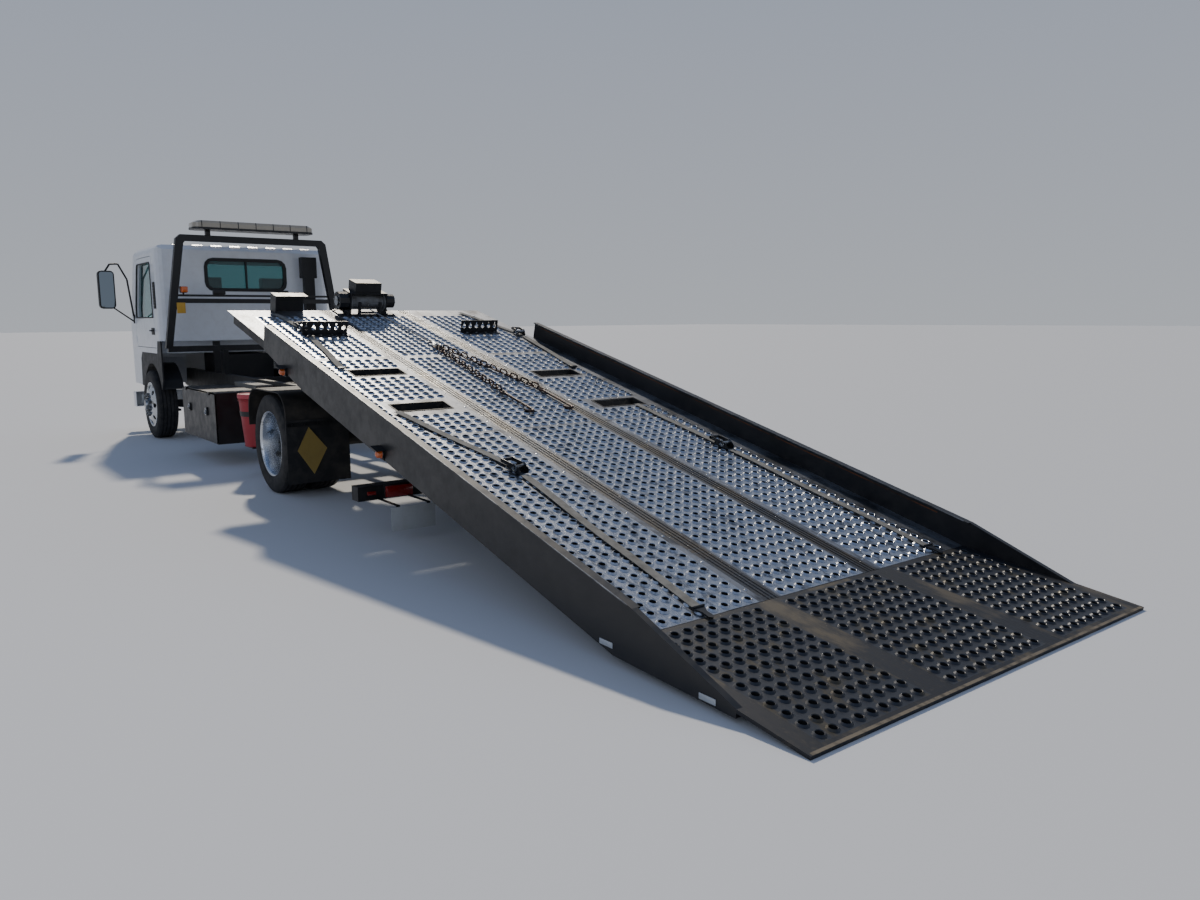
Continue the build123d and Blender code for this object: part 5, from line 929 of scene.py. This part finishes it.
def pierced_rim():
    """One rim with its disc on the +Y side and its hand holes cut through."""
    cutter = bmesh.new()
    for x, z in around(HAND_HOLES, HAND_HOLE_AT):
        add_round(cutter, (x, 0.05, z), (x, 0.17, z), HAND_HOLE_R, 20)
    made = []
    for part in (spun(RIM_PROFILE, 64), cutter):
        made.append(bpy.data.objects.new("carving", as_mesh(part, "carving")))
        bpy.context.collection.objects.link(made[-1])
    cut = made[0].modifiers.new("cut", "BOOLEAN")
    cut.object = made[1]
    cut.operation = "DIFFERENCE"
    cut.solver = "EXACT"
    graph = bpy.context.evaluated_depsgraph_get()
    mesh = bpy.data.meshes.new_from_object(made[0].evaluated_get(graph))
    for obj in made:
        bpy.data.objects.remove(obj)
    return mesh


rim_mesh = pierced_rim()
for name, side, at, facing, body, tyre_nodes, rim_nodes in wheels:
    bm = bmesh.new()
    add_cell(bm, rim_mesh, Matrix.Diagonal((1, side * facing, 1, 1)))
    disc, hub_end, drum_end, drum_r = FRONT_HUB if facing > 0 and "front" in name else REAR_HUB
    before = set(bm.faces)
    if "inner" not in name:
        for x, z in around(NUTS, NUT_AT, NUT_TURN):
            add_round(bm, (x, side * (disc - 0.002), z), (x, side * (disc + NUT_HIGH), z), NUT_R, 6)
            add_round(bm, (x, side * (disc + NUT_HIGH), z), (x, side * (disc + 0.027), z), 0.010, 10)
        cap_start = (0, side * (hub_end - CAP_LONG), 0)
        add_round(bm, (0, side * (disc - 0.05), 0), cap_start, HUB_R, 40)
        add_round(bm, cap_start, (0, side * hub_end, 0), CAP_R, 40, CAP_END_R)
        for x, z in around(HUB_BOLTS, HUB_BOLT_AT):
            bolt_y = (side * (hub_end - CAP_LONG), side * (hub_end - 0.008))
            add_round(bm, (x, bolt_y[0], z), (x, bolt_y[1], z), 0.008, 6)
    tint(bm, before, 1)
    before = set(bm.faces)
    if "outer" not in name:
        add_round(bm, (0, side * -0.055, 0), (0, side * drum_end, 0), drum_r, 48)
    tint(bm, before, 2)
    looks = (polished, zinc, drum_iron)
    finish_piece(bm, f"wheel_{name}", looks, body, Matrix.Translation(at), rim_nodes)

# Rear fenders: rolled sheet over the twin wheels, dusty on top, with rubber mud flaps hung behind them.
# A blank tan plate is fixed cornerwise on the left flap.
FENDER_HALF, FENDER_TOP, FENDER_FOOT, FENDER_CORNER, FENDER_SKIN = 0.460, 0.840, 0.520, 0.190, 0.005
FENDER_YS = (0.588, 1.090)
FLAP_FOOT, FLAP_HEAD, FLAP_BOLTS = 0.130, 0.630, 5
PLACARD = ((0.917, 0.571), (0.777, 0.395), (0.888, 0.198), (1.012, 0.390))
rear_x = middle_of("tyres_rear_left")[0]
# Black sheet that dust has browned on top, dull rubber flaps, and a faded tan plate.
top_dust = painted("dust_on_black_sheet", "#131210", "#575045", 0.6, dust_mm=160, dust_share=0.5)
flap_rubber = dusty_rubber("mud_flap_rubber", "#0e0f11", "#3a3733", 90)
tan_plate = painted("blank_tan_plate", "#8f7a3f", "#5f5330", 0.45)


def fender_line(inset):
    """The fender's line from its front foot over the wheels to its rear one."""
    middle = FENDER_HALF - FENDER_CORNER
    radius = FENDER_CORNER - inset
    over = arc((middle, FENDER_TOP - FENDER_CORNER), radius, 0, 90)
    over += arc((-middle, FENDER_TOP - FENDER_CORNER), radius, 90, 180)
    return [(FENDER_HALF - inset, FENDER_FOOT), *over, (inset - FENDER_HALF, FENDER_FOOT)]


for name, side in (("left", 1), ("right", -1)):
    bm = bmesh.new()
    low, high = sorted((side * FENDER_YS[0], side * FENDER_YS[1]))
    add_prism(bm, fender_line(0) + fender_line(FENDER_SKIN)[::-1], -high, -low, SIDE_ON)
    for y in (low + 0.006, high - 0.006):
        add_tube(bm, [(x, y, z) for x, z in fender_line(0.004)[1:-1]], 0.0065, 8)
    before = set(bm.faces)
    add_block(bm, (-FENDER_HALF - 0.006, -FENDER_HALF), (low, high), (FLAP_FOOT, FLAP_HEAD), 0.002)
    tint(bm, before, 1)
    before = set(bm.faces)
    strip = (-FENDER_HALF - 0.009, -FENDER_HALF - 0.005)
    add_block(bm, strip, (low + 0.01, high - 0.01), (FLAP_HEAD - 0.05, FLAP_HEAD - 0.02))
    for k in range(FLAP_BOLTS):
        y = low + (k + 0.5) * (high - low) / FLAP_BOLTS
        bolt_z = FLAP_HEAD - 0.035
        add_round(bm, (strip[0], y, bolt_z), (strip[0] - 0.006, y, bolt_z), 0.008, 6)
    for x in (0.440, -0.440):
        add_block(bm, about(x, 0.015), (side * 0.4253, side * 0.618), (0.600, 0.630))
    tint(bm, before, 2)
    replaced = ("rear_fenders",) if side > 0 else ()
    looks = (top_dust, flap_rubber, black_paint)
    place = Matrix.Translation((rear_x, 0, 0))
    finish_piece(bm, f"rear_fender_{name}", looks, "chassis", place, replaced)
bm = bmesh.new()
plate_x = rear_x - FENDER_HALF - 0.015
add_prism(bm, PLACARD, plate_x, plate_x + 0.003, FACE_ON)
finish_piece(bm, "mud_flap_plate", (tan_plate,), "chassis")

# The red pail in its holder: a moulded bucket with stiffening rings, a paler lid and a black strap.
# Its wire bail is left out.
PAIL_X, PAIL_Y = TAIL_X + 6.680, 0.850
PAIL_SHELL = [(0.262, 0), (0.262, 0.119), (0.268, 0.125), (0.640, 0.1565)]
for height in (0.676, 0.690):
    PAIL_SHELL += [(height, 0.158), (height + 0.002, 0.1665)]
    PAIL_SHELL += [(height + 0.006, 0.1665), (height + 0.008, 0.158)]
PAIL_SHELL += [(0.705, 0.1605), (0.705, 0)]
PAIL_LID = ((0.700, 0), (0.700, 0.1655), (0.703, 0.1700), (0.732, 0.1700), (0.740, 0.1670), (0.740, 0.158),
            (0.734, 0.152), (0.734, 0))
PAIL_STRAP = ((0.540, 0.1485), (0.540, 0.1520), (0.585, 0.1560), (0.585, 0.1525))
# Dull red plastic, and a lid that the sun has turned pink.
pail_red = painted("red_polyethylene", "#9c1626", "#6b3a36", 0.4, dust_share=0.25)
lid_pink = painted("faded_pail_lid", "#b5404a", "#8d6a64", 0.5, dust_share=0.5)
bm = bmesh.new()
for index, (profile, closed) in enumerate(((PAIL_SHELL, False), (PAIL_LID, False), (PAIL_STRAP, True))):
    before = set(bm.faces)
    bm.from_mesh(as_mesh(spun(profile, 48, closed), "pail_part"))
    tint(bm, before, index)
upright = Matrix.Translation((PAIL_X, PAIL_Y, 0)) @ SIDE_ON
pail_looks = (pail_red, lid_pink, black_paint)
finish_piece(bm, "pail_moulded", pail_looks, "chassis", upright, ("pail",))

# The toolbox door's two round latches with D handles.
LATCH_XS, LATCH_Y, LATCH_Z = (TAIL_X + 7.600, TAIL_X + 8.230), 1.069, 0.520
bm = bmesh.new()
for x in LATCH_XS:
    add_round(bm, (x, LATCH_Y - 0.001, LATCH_Z), (x, LATCH_Y + 0.004, LATCH_Z), 0.036, 32)
    add_round(bm, (x, LATCH_Y + 0.004, LATCH_Z), (x, LATCH_Y + 0.012, LATCH_Z), 0.012, 20)
    grip = [(x + u, LATCH_Y + 0.009, LATCH_Z + w) for u, w in arc((0, 0), 0.024, 180, 360, 10)]
    add_tube(bm, grip, 0.0035, 8, closed=True)
finish_piece(bm, "toolbox_latches", (zinc,), "toolbox_lid")

# Lamps on the chassis: an amber work lamp on the headboard, red tail lamps and small red markers on the rear
# beam with a blank number plate on two arms, and clear headlamps in the bumper.
HEAD_X = NOSE_X - 2.014
BEAM_X = TAIL_X + 3.760
BEAM_MARKERS = (0.20, 0.40, 0.60, 1.05)
PLATE_X, PLATE_YS, PLATE_ZS = TAIL_X + 3.465, (0.745, 1.050), (0.080, 0.232)
PLATE_ARM_YS, PLATE_ARM_HALF = (0.79, 1.00), 0.012
# Deep red darkened further as painted shade, and clear plastic, both with sharp highlights, and a plain grey
# plate.
red = painted("red_lens_darkened_painted_shade", "#7c1210", "#5a2b26", 0.15, coat=1.0)
clear_lens = painted("clear_lamp_lens", "#b9c0c4", "#8c8f90", 0.08, dust_share=0.2, coat=1.0)
number_plate = painted("blank_number_plate", "#aeb2b3", "#77746d", 0.4)
bm = bmesh.new()
add_block(bm, (HEAD_X - 0.095, HEAD_X - 0.015), (0.768, 0.838), (1.702, 1.770), 0.012)
before = set(bm.faces)
add_block(bm, (HEAD_X - 0.030, HEAD_X - 0.004), (0.765, 0.841), (1.699, 1.772), 0.006)
add_round(bm, (HEAD_X - 0.02, 0.803, 1.684), (HEAD_X - 0.02, 0.803, 1.705), 0.010, 12)
tint(bm, before, 1)
finish_piece(bm, "work_lamp", (amber, black_paint), "chassis", replaced=("lamps",))
bm = bmesh.new()
for side in (1, -1):
    add_block(bm, (BEAM_X - 0.040, BEAM_X - 0.012), (side * 0.770, side * 0.960), (0.245, 0.322), 0.008)
    for y in BEAM_MARKERS:
        edge_y = (side * (y - 0.030), side * (y + 0.030))
        add_block(bm, (BEAM_X - 0.014, BEAM_X), edge_y, (0.270, 0.295), 0.004)
before = set(bm.faces)
for side in (1, -1):
    add_block(bm, (BEAM_X - 0.018, BEAM_X), (side * 0.762, side * 0.968), (0.237, 0.329), 0.004)
tint(bm, before, 1)
finish_piece(bm, "tail_lamps", (red, black_paint), "chassis")
bm = bmesh.new()
add_block(bm, (PLATE_X, PLATE_X + 0.002), PLATE_YS, PLATE_ZS, 0.0006)
before = set(bm.faces)
for y in PLATE_ARM_YS:
    add_block(bm, (PLATE_X + 0.002, BEAM_X + 0.001), about(y, PLATE_ARM_HALF), (0.238, 0.243))
    add_block(bm, (PLATE_X + 0.002, PLATE_X + 0.005), about(y, PLATE_ARM_HALF), (0.150, 0.243))
tint(bm, before, 1)
finish_piece(bm, "number_plate_blank", (number_plate, black_paint), "chassis")
bm = bmesh.new()
for side in (1, -1):
    add_block(bm, (NOSE_X - 0.055, NOSE_X - 0.004), (side * 0.700, side * 0.930), (0.335, 0.455), 0.014)
finish_piece(bm, "headlamps", (clear_lens,), "chassis")

# The light bar over the headboard: a long smoked lens with rounded ends and black dividers on a black base.
# Below it stand two small lamp boxes and a blank yellow plate.
BAR_HALF_LONG, BAR_HALF_DEEP, BAR_ROUND = 0.680, 0.140, 0.075
BAR_ZS = (2.400, 2.422, 2.470, 2.4945)
BAR_LENS_SHRINK = 0.003
BAR_TOP_SHARE = 0.94
DIVIDERS = 7
# Smoky plastic with a soft highlight, and a flat yellow plate.
smoked = painted("smoked_amber_lens", "#9c9484", "#6f685b", 0.2, coat=0.8)
yellow_plate = painted("blank_yellow_plate", "#b98f2c", "#7d6a38", 0.4)


def rounded_outline(half_x, half_y, radius):
    """A rectangle with rounded corners, as an outline."""
    points = []
    for sx, sy, turn in ((1, 1, 0), (-1, 1, 90), (-1, -1, 180), (1, -1, 270)):
        points += arc((sx * (half_x - radius), sy * (half_y - radius)), radius, turn, turn + 90, 6)
    return points


bm = bmesh.new()
at = Matrix.Translation((HEAD_X, 0, 0))
lens_plan = rounded_outline(BAR_HALF_DEEP - BAR_LENS_SHRINK, BAR_HALF_LONG - BAR_LENS_SHRINK, BAR_ROUND)
add_prism(bm, lens_plan, BAR_ZS[1], BAR_ZS[2], at)
add_prism(bm, lens_plan, BAR_ZS[2], BAR_ZS[3], at, BAR_TOP_SHARE)
before = set(bm.faces)
add_prism(bm, rounded_outline(BAR_HALF_DEEP, BAR_HALF_LONG, BAR_ROUND), BAR_ZS[0], BAR_ZS[1], at)
for k in range(DIVIDERS):
    y = (k / (DIVIDERS - 1) - 0.5) * 2 * (BAR_HALF_LONG - 0.09)
    half = BAR_HALF_DEEP - 0.001
    top = half * BAR_TOP_SHARE
    section = [(-half, BAR_ZS[1]), (half, BAR_ZS[1]), (half, BAR_ZS[2]), (top, BAR_ZS[3]), (-top, BAR_ZS[3]),
               (-half, BAR_ZS[2])]
    add_prism(bm, section, -y - 0.004, -y + 0.004, at @ SIDE_ON)
for y in (-0.5, 0.5):
    add_block(bm, about(HEAD_X, 0.030), about(y, 0.025), (2.341, 2.402), 0.004)
tint(bm, before, 1)
finish_piece(bm, "light_bar_lens", (smoked, black_paint), "chassis", replaced=("light_bar",))
bm = bmesh.new()
for y in (0.42, -0.30):
    add_block(bm, (HEAD_X - 0.045, HEAD_X + 0.015), about(y, 0.065), (1.6845, 1.738), 0.006)
add_block(bm, (HEAD_X - 0.040, HEAD_X - 0.034), (0.870, 0.935), (1.520, 1.548))
before = set(bm.faces)
add_block(bm, (HEAD_X - 0.043, HEAD_X - 0.040), (0.795, 0.886), (1.474, 1.592), 0.001)
tint(bm, before, 1)
finish_piece(bm, "headboard_fittings", (black_paint, yellow_plate), "chassis")

# The cab's fittings: rubber round the door windows, door handles, vent slats, roof markers and mirror glass.
# The handles and the window rubbers swing with their doors.
CAB_HALF_WIDTH = 1.000
WINDOW_OUTLINE = ((1.400, 1.430), (1.400, 2.040), (1.370, 2.060), (0.740, 2.060), (0.710, 2.040),
                  (0.510, 1.560), (0.510, 1.430))
HANDLE_BACK, HANDLE_Z = 1.350, 1.270
HANDLE_GRIP = ((-0.06, 0.004), (-0.05, 0.026), (0.05, 0.026), (0.06, 0.004))
VENT_BACK, VENT_ZS, VENT_SLATS = (1.505, 1.595), (1.530, 1.830), 9
ROOF_MARKER_YS = (-0.80, -0.15, 0, 0.15, 0.80)
MIRROR_X, MIRROR_YS, MIRROR_ZS = NOSE_X - 0.395, (1.205, 1.385), (1.540, 2.000)
# Dull black plastic, and dark mirror glass.
black_plastic = painted("black_moulded_plastic", "#101113", "#33312e", 0.5)
silvered, _, _ = new_material(
    "silvered_mirror", Base_Color=to_linear("#7f8b96"), Metallic=1.0, Roughness=0.03)
for name, side in (("left", 1), ("right", -1)):
    bm = bmesh.new()
    flat = side * (CAB_HALF_WIDTH + 0.001)
    add_tube(bm, [(NOSE_X - back, flat, z) for back, z in WINDOW_OUTLINE], 0.009, 8, closed=True)
    x = NOSE_X - HANDLE_BACK
    dish_z = about(HANDLE_Z, 0.04)
    add_block(bm, about(x, 0.075), (flat, flat + side * 0.004), dish_z, 0.001)
    add_tube(bm, [(x + u, flat + side * out, HANDLE_Z + 0.008) for u, out in HANDLE_GRIP], 0.009, 8)
    finish_piece(bm, f"door_fittings_{name}", (black_plastic,), f"door_{name}")
bm = bmesh.new()
for side in (1, -1):
    for k in range(VENT_SLATS):
        z = VENT_ZS[0] + (k + 0.5) * (VENT_ZS[1] - VENT_ZS[0]) / VENT_SLATS
        x = (NOSE_X - VENT_BACK[1] + 0.008, NOSE_X - VENT_BACK[0] - 0.008)
        slat_y = (side * (CAB_HALF_WIDTH + 0.007), side * (CAB_HALF_WIDTH + 0.013))
        add_block(bm, x, slat_y, (z - 0.005, z + 0.011), 0.002)
before = set(bm.faces)
for y in ROOF_MARKER_YS:
    x = NOSE_X - 0.790
    add_block(bm, about(x, 0.045), about(y, 0.024), (2.240, 2.268), 0.010)
tint(bm, before, 1)
before = set(bm.faces)
for side in (1, -1):
    half_y = (MIRROR_YS[1] - MIRROR_YS[0]) / 2 - 0.014
    half_z = (MIRROR_ZS[1] - MIRROR_ZS[0]) / 2 - 0.016
    middle = (side * sum(MIRROR_YS) / 2, sum(MIRROR_ZS) / 2)
    glass = [(middle[0] + a, middle[1] + b) for a, b in rounded_outline(half_y, half_z, 0.03)]
    add_prism(bm, glass, MIRROR_X - 0.0425, MIRROR_X - 0.0395, FACE_ON)
tint(bm, before, 2)
finish_piece(bm, "cab_fittings", (black_plastic, amber, silvered), "cab")

# Materials of the CAD pieces that keep their own shape: white cab enamel, black frame enamel, dusty boxes,
# chromed rods, the grooved channels and tinted glass.
GROOVE_PITCH = 0.008
white_paint = painted("white_cab_enamel", "#d3d7dc", "#b3afa8", 0.28, dust_share=0.3, coat=0.6)
chassis_steel = painted("frame_enamel", "#0b0c0e", "#3e3a35", 0.5, dust_share=0.4)
box_paint = painted("dusty_grey_boxes", "#6d6b66", "#8b8373", 0.6, dust_share=0.6)
tank_metal = worn_metal("brushed_aluminium_tank", "#b4b8bc", "#7c7a75", 1.0, 0.3, 120, grime_share=0.3)
chrome = worn_metal("chromed_steel", "#d5d8db", "#a9a8a4", 1.0, 0.1, 80, grime_share=0.1)


def grooved(name, base, grime):
    """Rolled channel with fine grooves along it, and scuffs across them where loads slid over."""
    material, tree, shader = new_material(name, Metallic=0.7)
    at = add_node(tree, "ShaderNodeTexCoord")
    feeds = {"Vector": at.outputs["Object"], "Scale": 2 * pi / (20 * GROOVE_PITCH)}
    lines = add_node(tree, "ShaderNodeTexWave", feeds, bands_direction="Y").outputs["Fac"]
    scuffs = object_noise(tree, 14, detail=4, roughness=0.7, stretch=(1, 0.05, 1), along=DECK_TILT)
    dirt = object_noise(tree, 150, detail=8, roughness=0.65, stretch=(0.4, 1, 1), along=DECK_TILT)
    dark = mixed(tree, spread(tree, dirt, 0.42, 0.62), base, grime)
    colour = mixed(tree, spread(tree, scuffs, 0.56, 0.70, 0, 0.6), dark, "#84878b")
    rough = spread(tree, scuffs, 0.4, 0.7, 0.50, 0.30)
    feed(tree, shader, Base_Color=colour, Roughness=rough, Normal=add_relief(tree, lines, 0.6, 0.0012))
    return material


channel_steel = grooved("grooved_channel", "#3c4046", "#4f4a42")
window_glass, _, _ = new_material(
    "tinted_window_glass", Base_Color=to_linear("#86b4b6"), Roughness=0.02,
    Transmission_Weight=0.92, IOR=1.45)

LOOKS = {
    white_paint: ("cab_shell", "door_left", "door_right", "front_bumper"),
    black_paint: (
        "side_rails", "headboard", "toolbox", "toolbox_lid", "pail_holder", "deck_fittings", "winch"),
    chassis_steel: (
        "chassis_frame", "leaf_springs", "rear_axle", "front_axle", "engine_block", "drive_shaft",
        "bed_frame", "tilt_frame", "slide_barrel", "lift_barrel_left", "lift_barrel_right",
        "knuckle_left", "knuckle_right"),
    black_plastic: ("mirrors", "air_intake", "cab_interior", "cab_trim"),
    tank_metal: ("fuel_tank",),
    box_paint: ("side_boxes",),
    chrome: ("slide_sleeve", "slide_rod", "lift_rod_left", "lift_rod_right"),
    channel_steel: ("deck_channels",),
    window_glass: ("cab_glass", "door_glass_left", "door_glass_right"),
}
for material, nodes in LOOKS.items():
    for node in nodes:
        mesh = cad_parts[node].data
        mesh.materials.clear()
        mesh.materials.append(material)
